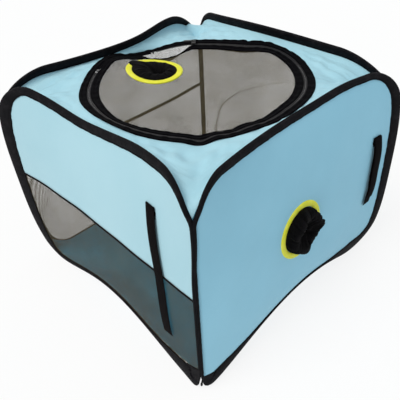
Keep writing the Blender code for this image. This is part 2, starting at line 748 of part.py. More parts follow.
def make_window():
    """The zip's two tapes and coils, its stops, the hinge tab and the mesh lid."""
    outer_tape = [window_outline(OUTER_TAPE_OUTER), circle(OUTER_TAPE_INNER, ZIP_STEPS)]
    add("zip_tape_outer", sheet("zip_tape_outer", outer_tape, FABRIC), BLACK_BINDING, WINDOW)
    coil = coil_outline(OUTER_COIL_INNER, OUTER_COIL_OUTER)
    add("zip_coil_outer", sheet("zip_coil_outer", [coil], COIL_HEIGHT), BLACK_COIL, WINDOW)
    tab = hinge_cut(OUTER_COIL_OUTER, LID_HINGE_DISTANCE + GAP, False)
    add("lid_hinge_tab", sheet("lid_hinge_tab", [tab], FABRIC), BLACK_BINDING, WINDOW)
    lid_tape = [hinge_cut(LID_TAPE_OUTER, LID_HINGE_DISTANCE, True), circle(LID_TAPE_INNER, ZIP_STEPS)]
    add("zip_tape_lid", sheet("zip_tape_lid", lid_tape, FABRIC), BLACK_BINDING, WINDOW, lid_body)
    coil = coil_outline(LID_COIL_INNER, LID_COIL_OUTER)
    add("zip_coil_lid", sheet("zip_coil_lid", [coil], COIL_HEIGHT), BLACK_COIL, WINDOW, lid_body)
    hole = circle(PORT_HOLE, PORT_STEPS, (LID_PORT_X, LID_PORT_Y))
    mesh = [circle(LID_TAPE_INNER - GAP, ZIP_STEPS), hole]
    add("lid_mesh", sheet("lid_mesh", mesh, FABRIC), BLACK_MESH, WINDOW, lid_body)
    at = OUTER_COIL_INNER + COIL_WIDTH / 2
    turn = (ZIP_STOP_LENGTH / 2 + GAP) / at
    for name, azimuth in (("zip_stop_start", ZIP_START - turn), ("zip_stop_end", ZIP_END + turn)):
        stop = block(name, (COIL_WIDTH, ZIP_STOP_LENGTH, ZIP_STOP_HEIGHT), (at, 0, 0))
        add(name, stop, BLACK_METAL, WINDOW @ Matrix.Rotation(azimuth, 4, "Z"))


def make_slider():
    """The slider round both coils, with its crown, and the pull tab whose bar lies under the crown."""
    place = WINDOW @ Matrix.Rotation(SLIDER_AZIMUTH, 4, "Z") @ Matrix.Translation((ZIP_RADIUS, 0, 0))
    inside = COIL_HEIGHT / 2 + SLIDER_PLATE_CLEARANCE
    top = inside + SLIDER_PLATE
    plate_centre = inside + SLIDER_PLATE / 2
    plate_size = (SLIDER_WIDTH, SLIDER_LENGTH, SLIDER_PLATE)
    slider = add("zip_slider", block("zip_slider", plate_size, (0, 0, plate_centre)), BLACK_METAL, place, slider_body)
    leg_at = CROWN_OPENING / 2 + CROWN_THICKNESS / 2
    crown_top = top + CROWN_CLEAR_HEIGHT + CROWN_THICKNESS
    leg_size = (CROWN_WIDTH, CROWN_THICKNESS, crown_top - plate_centre)
    leg_centre = (crown_top + plate_centre) / 2
    bridge_size = (CROWN_WIDTH, CROWN_OPENING + 2 * CROWN_THICKNESS, CROWN_THICKNESS)
    post_at = SLIDER_LENGTH / 2 - SLIDER_POST_LENGTH / 2
    united(slider, [
        block("plate", plate_size, (0, 0, -plate_centre)),
        block("post", (SLIDER_POST_WIDTH, SLIDER_POST_LENGTH, 2 * plate_centre), (0, post_at, 0)),
        block("leg", leg_size, (0, leg_at, leg_centre)),
        block("leg", leg_size, (0, -leg_at, leg_centre)),
        block("bridge", bridge_size, (0, 0, crown_top - CROWN_THICKNESS / 2)),
    ])
    bar_height = top + CROWN_CLEAR_HEIGHT / 2
    swing_place = place @ Matrix.Translation((0, 0, bar_height))
    tab_body = empty("pull_tab_swing", swing_place.translation, slider_body)
    half_width = TAB_WIDTH / 2
    half_window = TAB_WINDOW_WIDTH / 2
    half_bar = TAB_BAR / 2
    bail_reach = math.hypot(CROWN_OPENING / 2 + CROWN_THICKNESS, CROWN_CLEAR_HEIGHT / 2 + CROWN_THICKNESS)
    window_end = bail_reach + 2 * GAP
    outline = [(-half_width, -half_bar), (half_width, -half_bar), (half_width, TAB_LENGTH), (-half_width, TAB_LENGTH)]
    window = [
        (-half_window, half_bar),
        (half_window, half_bar),
        (half_window, window_end),
        (-half_window, window_end),
    ]
    add("zip_pull_tab", sheet("zip_pull_tab", [outline, window], TAB_THICKNESS), BLACK_METAL, swing_place, tab_body)


# Storage straps: a sewn end on the wall and a tail that hangs from it

def hang_strap(name, wall, top_place, layers):
    """A strap's sewn end on its wall, and its layers as (name, side view), which swing at their outer top edge."""
    along, top = top_place
    face = FABRIC / 2 + GAP
    place = WALLS[wall] @ Matrix.Translation((along, top, face + STRAP_THICKNESS / 2))
    half_width, half_length = STRAP_WIDTH / 2, STRAP_ANCHOR_LENGTH / 2
    anchor = sheet(f"{name}_anchor", [rectangle(half_width, half_length)], STRAP_THICKNESS)
    anchor_place = place @ Matrix.Translation((0, -half_length, 0))
    add(f"{name}_anchor", anchor, BLACK_WEBBING, anchor_place, BODIES[wall])
    end = WALLS[wall] @ Matrix.Translation((along, top - STRAP_ANCHOR_LENGTH - GAP, face))
    outer_face = len(layers) * (STRAP_THICKNESS + GAP) - GAP
    swing = empty(f"{name}_swing", (end @ Matrix.Translation((0, 0, outer_face))).translation, BODIES[wall])
    side_on = end @ Matrix.Rotation(math.pi / 2, 4, "Z") @ Matrix.Rotation(math.pi / 2, 4, "X")
    for layer, outline in layers:
        add(layer, sheet(layer, [outline], STRAP_WIDTH), BLACK_WEBBING, side_on, swing)


def make_straps():
    """The long strap of the front wall and the short double strap of the right wall."""
    free = FRONT_STRAP_LENGTH - STRAP_ANCHOR_LENGTH
    tail = strap_outline(free / STRAP_STEPS, STRAP_STEPS, [(FRONT_STRAP_BOW, free)], 0.0)
    hang_strap("front_strap", "front", FRONT_STRAP_PLACE, [("front_strap_tail", tail)])
    free = RIGHT_STRAP_LENGTH - STRAP_ANCHOR_LENGTH
    step = free / STRAP_STEPS
    bows = [(RIGHT_STRAP_BOW, free)]
    tail = strap_outline(step, STRAP_STEPS, bows, 0.0)
    bows.append((RIGHT_COVER_BOW, step * RIGHT_COVER_STEPS))
    cover = strap_outline(step, RIGHT_COVER_STEPS, bows, STRAP_THICKNESS + GAP)
    layers = [("right_strap_tail", tail), ("right_strap_cover", cover)]
    hang_strap("right_strap", "right", RIGHT_STRAP_PLACE, layers)


for wall_name in WALLS:
    make_hoop(wall_name)
make_walls()
make_corner_seams()
make_top()
make_floor()
make_dryer_port()
make_lid_port()
make_window()
make_slider()
make_straps()
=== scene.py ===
# Looks of the folding pet drying box: four bowed spring hoops in black binding, blue fabric and black
# mesh walls, a fabric top with a round zipped mesh lid, two yellow-bound ports and two webbing straps.
import math

import bpy
import numpy as np
from mathutils import Matrix, Vector


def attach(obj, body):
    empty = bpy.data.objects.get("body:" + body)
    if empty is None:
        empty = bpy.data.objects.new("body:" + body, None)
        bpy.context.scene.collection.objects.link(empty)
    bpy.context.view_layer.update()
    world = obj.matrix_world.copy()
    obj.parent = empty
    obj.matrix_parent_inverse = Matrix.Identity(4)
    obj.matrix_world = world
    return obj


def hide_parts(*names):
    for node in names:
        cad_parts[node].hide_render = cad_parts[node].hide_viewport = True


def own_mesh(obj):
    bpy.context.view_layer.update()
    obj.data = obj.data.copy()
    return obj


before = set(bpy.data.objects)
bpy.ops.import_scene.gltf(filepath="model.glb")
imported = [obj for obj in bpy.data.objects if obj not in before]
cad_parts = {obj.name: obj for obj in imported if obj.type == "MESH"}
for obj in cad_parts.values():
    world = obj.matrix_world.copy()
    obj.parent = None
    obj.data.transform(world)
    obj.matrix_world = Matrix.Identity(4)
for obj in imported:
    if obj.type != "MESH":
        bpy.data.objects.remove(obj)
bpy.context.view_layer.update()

# Sizes in metres, as in the solids; azimuths in degrees.
HOOP_HALF = 0.2862
HOOP_BOTTOM = 0.00465
HOOP_TOP = 0.5105
WALL_PLANE = 0.2955
WIRE_RADIUS = 0.0015
FERRULE_RADIUS = 0.0023
FERRULE_LENGTH = 0.024
BINDING_TUCK = 0.0022
TOP_TAPE_DEPTH = 0.0165
SEAM_HEIGHT = 0.2835
FRONT_SEAM_WIDTH = 0.006
LEFT_BAND_WIDTH = 0.010
PORT_OUTER = 0.0634
PORT_INNER = 0.0499
PORT_HOLE = 0.0559
DRYER_PORT = (-0.0235, 0.274)
LID_PORT = (-0.118, -0.017)
ZIP_HEIGHT = 0.4905
TAPE_OUTER_EDGE = 0.2446
TAPE_OUTER_INNER = 0.2284
TAPE_LID_OUTER = 0.2208
TAPE_LID_EDGE = 0.2032
COIL_OUTER_LINE = 0.2266
COIL_LID_LINE = 0.2226
ZIP_START = -146.5
ZIP_END = 162.5
HINGE_AZIMUTH = 188.0
HINGE_HALF_ANGLE = 22.0
SLIDER_AZIMUTH = 138.0
SLIDER_RADIUS = 0.2245
STRAP_WIDTH = 0.025
STRAP_THICKNESS = 0.0012
FRONT_STRAP = (0.1856, 0.4300)
RIGHT_STRAP = (0.2352, 0.371)
STRAP_ANCHOR_LENGTH = 0.020
STRAP_LEAN = 0.132
FRONT_STRAP_LENGTH = 0.307
RIGHT_STRAP_LENGTH = 0.175

# How the sprung hoops bow: the upright runs narrow towards the top, and the stitched corners draw two
# hoops together. Places up a wall are shares of its height; a fade is how much of it a change takes. A
# hoop's corner turns by at least LEAST_TURN, and the flat place of a bowed point is found in rounds.
TAPER = -0.016
BELLY_POWER = 3.2
SEWN_FROM = 0.02
SEWN_TO = 0.94
SEWN_LOW_FADE = 0.08
SEWN_HIGH_FADE = 0.06
DRAW_POWER = 9
LEAN_TO = 0.84
LEAN_FADE = 0.24
LEAN_POWER = 12
SAG_POWER = 1.5
LEAST_TURN = 0.004
FLATTENING_ROUNDS = 14

# The round zip's ripples: azimuth in degrees, then how many millimetres its outer edge and the edge of
# the lid's tape stand above its flat height, rounded from those edges' places in the photograph.
ZIP_RIPPLES = (
    (-170, 8, 5), (-160, 10, 13), (-150, 6, 8), (-135, -1, 2), (-120, 0, -1), (-105, 8, -3),
    (-90, 11, -8), (-78, 9, -7), (-66, 3, -6), (-56, 0, -7), (-50, -1, -9), (-42, -10, -12),
    (-36, 1, -8), (-28, 2, -9), (-20, 6, -3), (-10, 6, -5), (5, 9, 1), (20, 7, 0),
    (35, 3, 1), (50, 2, 2), (65, 7, 4), (80, 9, 6), (92, 10, -2), (104, 4, -12),
    (120, -2, -12), (138, -3, -11), (150, -6, -12), (160, -11, -13), (172, -10, -13), (181, -3, -7),
)

# Cloth: the pitch of its yarns, eyes and ribs, its thickness, how slack it is, and the cord in its hems.
YARN_PITCH = 0.0009
THIN_YARN_PITCH = 0.0008
EYE_PITCH = 0.0016
WEBBING_RIB = 0.0016
WEBBING_TWILL = 0.0011
CLOTH_THICKNESS = 0.0006
FRONT_CLOTH_THICKNESS = 0.0005
GATHERED_THICKNESS = 0.0007
WALL_SLACK = 0.0012
SIDE_SLACK = 0.0015
WALL_COLUMNS = 61
HEM_RADIUS = 0.0018
HEM_PAST = 0.0022

# The photograph's camera, fitted to the four hoops: angles in degrees, lens and sensor in millimetres.
CAMERA_AZIMUTH = 47.589
CAMERA_ELEVATION = 38.883
CAMERA_ROLL = -3.087
CAMERA_AIM = (0.0035, -0.0116, 0.1757)
CAMERA_DISTANCE = 1.157
CAMERA_LENS = 41.42
CAMERA_SENSOR = 36.0

# The room: its floor, with the share of its own white glow where the camera sees it, its lamp, whose
# softness is an angle in degrees, and its even light.
FLOOR_GLOW = 0.85
FLOOR_REACH = 9.0
FLOOR_DROP = 0.0004
KEY_STRENGTH = 2.05
KEY_COLOUR = (1.0, 0.93, 0.86)
KEY_FROM = (-0.10, -0.55, 0.85)
KEY_SOFTNESS = 35
WHITE = (1.0, 1.0, 1.0, 1.0)
ROOM_COLOUR = (0.80, 0.93, 1.0, 1.0)
ROOM_STRENGTH = 0.52


# Finishes

class Tone:
    """A value, colour or direction that changes over a surface, written as plain sums."""

    def __init__(self, finish, socket):
        self.finish = finish
        self.socket = socket

    def sum(self, operation, *values):
        return self.finish.node("Math", {"operation": operation}, dict(enumerate(values)))

    def __add__(self, other):
        return self.sum("ADD", self, other)

    def __radd__(self, other):
        return self.sum("ADD", other, self)

    def __sub__(self, other):
        return self.sum("SUBTRACT", self, other)

    def __rsub__(self, other):
        return self.sum("SUBTRACT", other, self)

    def __mul__(self, other):
        return self.sum("MULTIPLY", self, other)

    def __rmul__(self, other):
        return self.sum("MULTIPLY", other, self)

    def __gt__(self, other):
        return self.sum("GREATER_THAN", self, other)

    def __abs__(self):
        return self.sum("ABSOLUTE", self)

    def sine(self):
        return self.sum("SINE", self)

    def between(self, low, high):
        """0 below low, 1 above high, and a smooth step from one to the other."""
        settings = {"interpolation_type": "SMOOTHSTEP"}
        return self.finish.node("MapRange", settings, {0: self, 1: low, 2: high, 3: 0.0, 4: 1.0})


class Finish:
    """A material that is put together node by node."""

    def __init__(self, name, holder=None):
        self.material = holder or bpy.data.materials.new(name)
        self.material.use_nodes = True
        self.tree = self.material.node_tree
        self.tree.nodes.clear()

    def node(self, kind, settings, sockets, out=0):
        """One node: its settings first, then the values or links of its sockets."""
        made = self.tree.nodes.new("ShaderNode" + kind)
        for key, value in settings.items():
            setattr(made, key, value)
        for key, value in sockets.items():
            self.feed(made.inputs[key], value)
        return Tone(self, made.outputs[out])

    def feed(self, socket, value):
        if isinstance(value, Tone):
            self.tree.links.new(value.socket, socket)
        else:
            socket.default_value = value

    def place(self):
        """The three coordinates of a point of the piece, in metres."""
        coordinates = self.node("TexCoord", {}, {}, out="Object")
        parts = self.node("SeparateXYZ", {}, {0: coordinates})
        outputs = parts.socket.node.outputs
        return [Tone(self, output) for output in outputs]

    def noise(self, scale, detail, roughness=0.55, stretch=(1.0, 1.0, 1.0)):
        coordinates = self.node("TexCoord", {}, {}, out="Object")
        placed = self.node("Mapping", {}, {"Vector": coordinates, "Scale": stretch})
        sockets = {"Vector": placed, "Scale": scale, "Detail": detail, "Roughness": roughness}
        return self.node("TexNoise", {}, sockets)

    def blend(self, share, first, second):
        """A colour between two colours."""
        return self.node("Mix", {"data_type": "RGBA"}, {0: share, 6: first, 7: second}, out=2)

    def bump(self, height, distance, strength):
        return self.node("Bump", {}, {"Height": height, "Distance": distance, "Strength": strength})

    def shaded(self, slot, sockets):
        """Ends the material in one shader with these sockets; gives its slot and the material."""
        self.end("OutputMaterial", self.node("BsdfPrincipled", {}, sockets))
        return slot, self.material

    def end(self, kind, shader):
        last = self.tree.nodes.new("ShaderNode" + kind)
        self.feed(last.inputs["Surface"], shader)


def srgb(red, green, blue):
    """A colour as it is seen on a screen, from 0 to 255, for a shader."""
    parts = [part / 255 for part in (red, green, blue)]
    return tuple(p / 12.92 if p <= 0.04045 else ((p + 0.055) / 1.055) ** 2.4 for p in parts) + (1.0,)


def cloth_lines(finish, laid):
    """The two directions of a cloth's yarns: across and along it, in metres."""
    x, y, z = finish.place()
    return (x, y) if laid else (x + y, z)


def plain_weave(finish, laid, pitch):
    """Yarns that pass over and under each other: 0 in the gaps, 1 on the crowns."""
    across, along = cloth_lines(finish, laid)
    turn = math.pi / pitch
    warp = (across * turn).sine()
    weft = (along * turn).sine()
    over = (warp * weft) > 0.0
    return abs(warp) * over + abs(weft) * (1 - over)


def blue_fabric(name, laid, pale, deep, strength):
    """Light blue coated polyester: a fine plain weave, soft creases and a faint unevenness."""
    finish = Finish(name)
    weave = plain_weave(finish, laid, YARN_PITCH)
    clouds = finish.noise(5.0, 2.0)
    mottle = finish.noise(55.0, 3.0, 0.6)
    creases = finish.noise(22.0, 3.0, 0.55, (1.0, 1.0, 0.5))
    ground = finish.blend(clouds.between(0.25, 0.75) * 0.7 + mottle * 0.3, deep, pale)
    colour = finish.blend(weave * 0.16, ground, srgb(128, 186, 206))
    height = weave * 0.08 + creases * 0.8 + mottle * 0.15
    return finish.shaded("blue_fabric", {
        "Base Color": colour,
        "Roughness": 0.55 + clouds * 0.14,
        "Specular IOR Level": 0.30,
        "Sheen Weight": 0.12,
        "Normal": finish.bump(height, 0.0016, strength),
    })


def fold_lines(finish):
    """1 along a few long thin folds that wander over the cloth, 0 elsewhere."""
    drift = finish.noise(2.6, 1.0)
    faded = finish.noise(5.0, 1.0)
    return (1 - abs(drift - 0.5) * 160).between(0, 1) * faded.between(0.42, 0.6)


def black_mesh(name, laid):
    """Black warp-knit mesh: small eyes between thin warm-black threads."""
    finish = Finish(name)
    across, along = cloth_lines(finish, laid)
    turn = math.pi / EYE_PITCH * 0.7071
    first = ((across + along) * turn).sine()
    second = ((across - along) * turn).sine()
    eye = abs(first * second)
    dust = finish.noise(30.0, 2.0)
    streaks = finish.noise(9.0, 3.0, 0.6, (1.0, 1.0, 0.25))
    tight = 0.33 + streaks.between(0.3, 0.7) * 0.13 + fold_lines(finish) * (0.30 if laid else 0.12)
    return finish.shaded("black_mesh", {
        "Base Color": finish.blend(dust, srgb(54, 46, 28), srgb(84, 74, 48)),
        "Roughness": 0.6 + eye * 0.2,
        "Specular IOR Level": 0.2,
        "Alpha": 1 - (eye - tight).between(-0.06, 0.06),
        "Normal": finish.bump(1 - eye, 0.0004, 0.5),
    })


def ribbed_tape(name, slot, dark, light, pitch, rough, gloss):
    """A woven tape: close ribs, lighter on their crowns and in patches, partly wear and partly a painted
    sheen.
    """
    finish = Finish(name)
    x, y, z = finish.place()
    ribs = abs(((x + y + z) * (math.pi / pitch)).sine())
    cross = abs(((x - y + z * 0.6) * (math.pi / (pitch * 1.9))).sine())
    wear_and_sheen = finish.noise(60.0, 4.0, 0.6)
    puckers = finish.noise(150.0, 2.0, 0.5)
    # The lighter colour on the crowns and in patches is partly wear and partly a painted highlight.
    share = wear_and_sheen.between(0.45, 0.75) * 0.65 + ribs * 0.2
    return finish.shaded(slot, {
        "Base Color": finish.blend(share, dark, light),
        "Roughness": rough + wear_and_sheen * 0.18,
        "Specular IOR Level": gloss,
        "Normal": finish.bump(ribs * 0.25 + cross * 0.1 + puckers * 0.8, 0.0009, 0.6),
    })


def webbing(name):
    """Black polyester webbing: thick ribs across it and a fine twill along it."""
    finish = Finish(name)
    x, y, z = finish.place()
    ribs = abs((z * (math.pi / WEBBING_RIB)).sine())
    twill = abs(((z + (x + y) * 1.2) * (math.pi / WEBBING_TWILL)).sine())
    fluff = finish.noise(220.0, 3.0)
    return finish.shaded("black_webbing", {
        "Base Color": finish.blend(fluff * ribs, srgb(6, 4, 5), srgb(20, 16, 18)),
        "Roughness": 0.8 + fluff * 0.15,
        "Specular IOR Level": 0.05,
        "Normal": finish.bump(ribs * 0.7 + twill * 0.3, 0.0006, 0.7),
    })


def gathered_cloth(name, dark, light):
    """Thin black cloth drawn up by elastic: crumpled, with a painted sheen on its folds."""
    finish = Finish(name)
    crumple_and_sheen = finish.noise(90.0, 5.0, 0.65)
    weave = plain_weave(finish, False, THIN_YARN_PITCH)
    # The crumple's crests are painted lighter: a painted sheen on the folds.
    return finish.shaded("black_fabric", {
        "Base Color": finish.blend(crumple_and_sheen.between(0.4, 0.75), dark, light),
        "Roughness": 0.65 + crumple_and_sheen * 0.2,
        "Specular IOR Level": 0.06,
        "Normal": finish.bump(crumple_and_sheen + weave * 0.1, 0.0015, 0.6),
    })


def nylon_coil(name):
    finish = Finish(name)
    wear = finish.noise(180.0, 3.0)
    return finish.shaded("zip_coil", {
        "Base Color": finish.blend(wear, srgb(10, 10, 12), srgb(24, 23, 25)),
        "Roughness": 0.4 + wear * 0.2,
        "Specular IOR Level": 0.22,
    })


def painted_metal(name):
    """Black paint on zinc, rubbed through in places."""
    finish = Finish(name)
    wear_and_sheen = finish.noise(420.0, 5.0, 0.6)
    bare = wear_and_sheen.between(0.66, 0.74)
    return finish.shaded("black_metal", {
        "Base Color": finish.blend(bare, srgb(24, 23, 24), srgb(120, 118, 115)),
        "Roughness": 0.32 + wear_and_sheen * 0.2,
        "Metallic": bare * 0.9,
        "Normal": finish.bump(wear_and_sheen, 0.0001, 0.3),
    })


def spring_steel(name):
    finish = Finish(name)
    drawn = finish.noise(60.0, 3.0, 0.5, (1.0, 1.0, 12.0))
    return finish.shaded("spring_steel", {
        "Base Color": finish.blend(drawn, srgb(120, 122, 126), srgb(176, 178, 182)),
        "Roughness": 0.25 + drawn * 0.2,
        "Metallic": 1.0,
    })


BLUE_UPRIGHT = blue_fabric(
    "blue_fabric_upright", laid=False, pale=srgb(179, 215, 226), deep=srgb(169, 209, 221), strength=0.35)
# Painted shade: a copy of the same blue cloth, tinted bluer, for the right wall, which stands in shade.
BLUE_SHADED_SIDE = blue_fabric(
    "blue_fabric_shaded_side", laid=False, pale=srgb(160, 216, 238), deep=srgb(148, 205, 228), strength=0.35)
BLUE_LAID = blue_fabric(
    "blue_fabric_laid", laid=True, pale=srgb(184, 224, 236), deep=srgb(168, 214, 229), strength=0.5)
# Painted shade: the floor's copy of the blue cloth is darker and deeper blue for the shade inside the box.
BLUE_SHADED_FLOOR = blue_fabric(
    "blue_fabric_shaded_floor", laid=True, pale=srgb(86, 184, 214), deep=srgb(54, 146, 178), strength=1.0)
MESH_UPRIGHT = black_mesh("black_mesh_upright", laid=False)
MESH_LAID = black_mesh("black_mesh_laid", laid=True)
# Each ribbed tape's lighter colour is partly wear and partly a painted sheen.
BINDING = ribbed_tape(
    "black_binding_tape", "black_binding", srgb(8, 9, 13), srgb(36, 33, 36),
    pitch=0.0007, rough=0.6, gloss=0.06)
ZIP_TAPE = ribbed_tape(
    "black_zip_tape", "black_binding", srgb(4, 4, 6), srgb(14, 13, 16),
    pitch=0.0006, rough=0.7, gloss=0.03)
YELLOW = ribbed_tape(
    "yellow_binding_tape", "yellow_binding", srgb(240, 236, 52), srgb(255, 252, 104),
    pitch=0.0008, rough=0.5, gloss=0.3)
WEBBING = webbing("black_webbing_weave")
STITCHING = ("black_binding", WEBBING[1])
GATHERED = gathered_cloth("black_gathered_cloth", srgb(2, 2, 3), srgb(14, 12, 15))
ELASTIC = ribbed_tape(
    "black_elastic_cord", "black_elastic", srgb(8, 7, 8), srgb(26, 23, 25),
    pitch=0.0009, rough=0.7, gloss=0.08)
COIL = nylon_coil("black_nylon_coil")
METAL = painted_metal("black_painted_metal")
STEEL = spring_steel("drawn_spring_steel")


# Forms

def net(points, close_rows=False, close_columns=False):
    """The faces of a grid of points: rows, columns, and three coordinates."""
    rows, columns = points.shape[:2]
    index = np.arange(rows * columns).reshape(rows, columns)
    if close_rows:
        index = np.vstack([index, index[:1]])
    if close_columns:
        index = np.hstack([index, index[:, :1]])
    corners = (index[:-1, :-1], index[:-1, 1:], index[1:, 1:], index[1:, :-1])
    faces = np.stack([corner.ravel() for corner in corners], axis=1)
    return points.reshape(-1, 3), faces.tolist()


def gather(forms):
    """Several forms as one."""
    places, faces, start = [], [], 0
    for form_places, form_faces in forms:
        places.append(np.asarray(form_places, float))
        faces += [[corner + start for corner in face] for face in form_faces]
        start += len(form_places)
    return np.vstack(places), faces


def capped(points):
    """A tube of rings with a flat face at each end."""
    places, faces = net(points, close_columns=True)
    columns = points.shape[1]
    last = len(places) - columns
    faces.append(list(range(columns))[::-1])
    faces.append(list(range(last, last + columns)))
    return places, faces


def hull(points, closed):
    """A tube of rings: its ends meet where it is closed, and have a face each where it isn't."""
    return net(points, close_rows=True, close_columns=True) if closed else capped(points)


def tube(path, radius, sides, closed=False):
    """A round tube along a path; the radius is one number, or one for each point."""
    path = np.asarray(path, float)
    count = len(path)
    ahead = np.roll(path, -1, axis=0) - np.roll(path, 1, axis=0)
    if not closed:
        ahead[0] = path[1] - path[0]
        ahead[-1] = path[-1] - path[-2]
    ahead /= np.linalg.norm(ahead, axis=1)[:, None]
    side = np.cross(ahead[0], (0.12, 0.34, 0.93))
    side /= np.linalg.norm(side)
    sides_at = []
    for direction in ahead:
        side = side - direction * side.dot(direction)
        side /= np.linalg.norm(side)
        sides_at.append(side)
    sides_at = np.array(sides_at)
    other = np.cross(ahead, sides_at)
    if closed:
        left = np.cross(sides_at[-1], sides_at[0]).dot(ahead[0])
        twist = math.asin(max(-1.0, min(1.0, left)))
        share = np.arange(count)[:, None] / count * twist
        sides_at, other = (sides_at * np.cos(share) + other * np.sin(share),
                           other * np.cos(share) - sides_at * np.sin(share))
    angles = full_turn(sides)
    reach = np.broadcast_to(np.asarray(radius, float), (count,))[:, None, None]
    ring = sides_at[:, None] * np.cos(angles)[:, None] + other[:, None] * np.sin(angles)[:, None]
    points = path[:, None] + ring * reach
    return hull(points, closed)


def piece(name, form, body, finish, stands_for=(), thickness=0.0):
    """A named piece of the object, on its body and in the place of its solids."""
    places, faces = form
    slot, material = finish
    mesh = bpy.data.meshes.new(name)
    mesh.from_pydata([tuple(place) for place in places], [], faces)
    mesh.polygons.foreach_set("use_smooth", [True] * len(mesh.polygons))
    mesh.update()
    made = bpy.data.objects.new(name, mesh)
    bpy.context.scene.collection.objects.link(made)
    mesh.materials.append(material)
    if thickness:
        solid = made.modifiers.new("thickness", "SOLIDIFY")
        solid.thickness = thickness
        solid.offset = 0.0
        settle(made)
    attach(made, body)
    if stands_for:
        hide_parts(*stands_for)
    pieces[name] = (made, body)
    return made


def settle(made):
    """Turns a piece's modifiers into its mesh."""
    bpy.context.view_layer.update()
    ready = made.evaluated_get(bpy.context.evaluated_depsgraph_get())
    mesh = bpy.data.meshes.new_from_object(ready)
    made.modifiers.clear()
    made.data = mesh


pieces = {}


def full_turn(count):
    """Evenly spaced angles round a full turn."""
    return np.arange(count) * (2 * math.pi / count)


def smooth_step(share):
    share = np.clip(share, 0, 1)
    return share * share * (3 - 2 * share)


def bump_between(value, low, high):
    """0 outside low to high, rising smoothly to 1 in the middle."""
    share = np.clip((value - low) / (high - low), 0, 1)
    return np.sin(math.pi * share) ** 2


def fuller(wave, power):
    """A sine or cosine with fuller shoulders."""
    return np.sign(wave) * np.abs(wave) ** power


def folds_round(angle, *waves):
    """A sum of waves round a ring; each has a size, a number of crests and a start."""
    return sum(size * np.cos(crests * angle + start) for size, crests, start in waves)


def spaced(line, count):
    """Evenly spaced points along a line, and how far along it each is; its last point is left out."""
    steps = np.linalg.norm(np.diff(line, axis=0), axis=1)
    travelled = np.concatenate([[0.0], np.cumsum(steps)])
    wanted = np.arange(count) * (travelled[-1] / count)
    return np.stack([np.interp(wanted, travelled, places) for places in line.T], axis=1), wanted


# Walls

class Corner:
    """An upright corner of the box, where two walls' hoops are sewn together."""

    def __init__(self, bulge_low, bulge_high, puff, tip, drawn=0.0, lean=0.0):
        self.bulge_low = bulge_low
        self.bulge_high = bulge_high
        self.puff = puff
        self.tip = tip
        self.drawn = drawn
        self.lean = lean


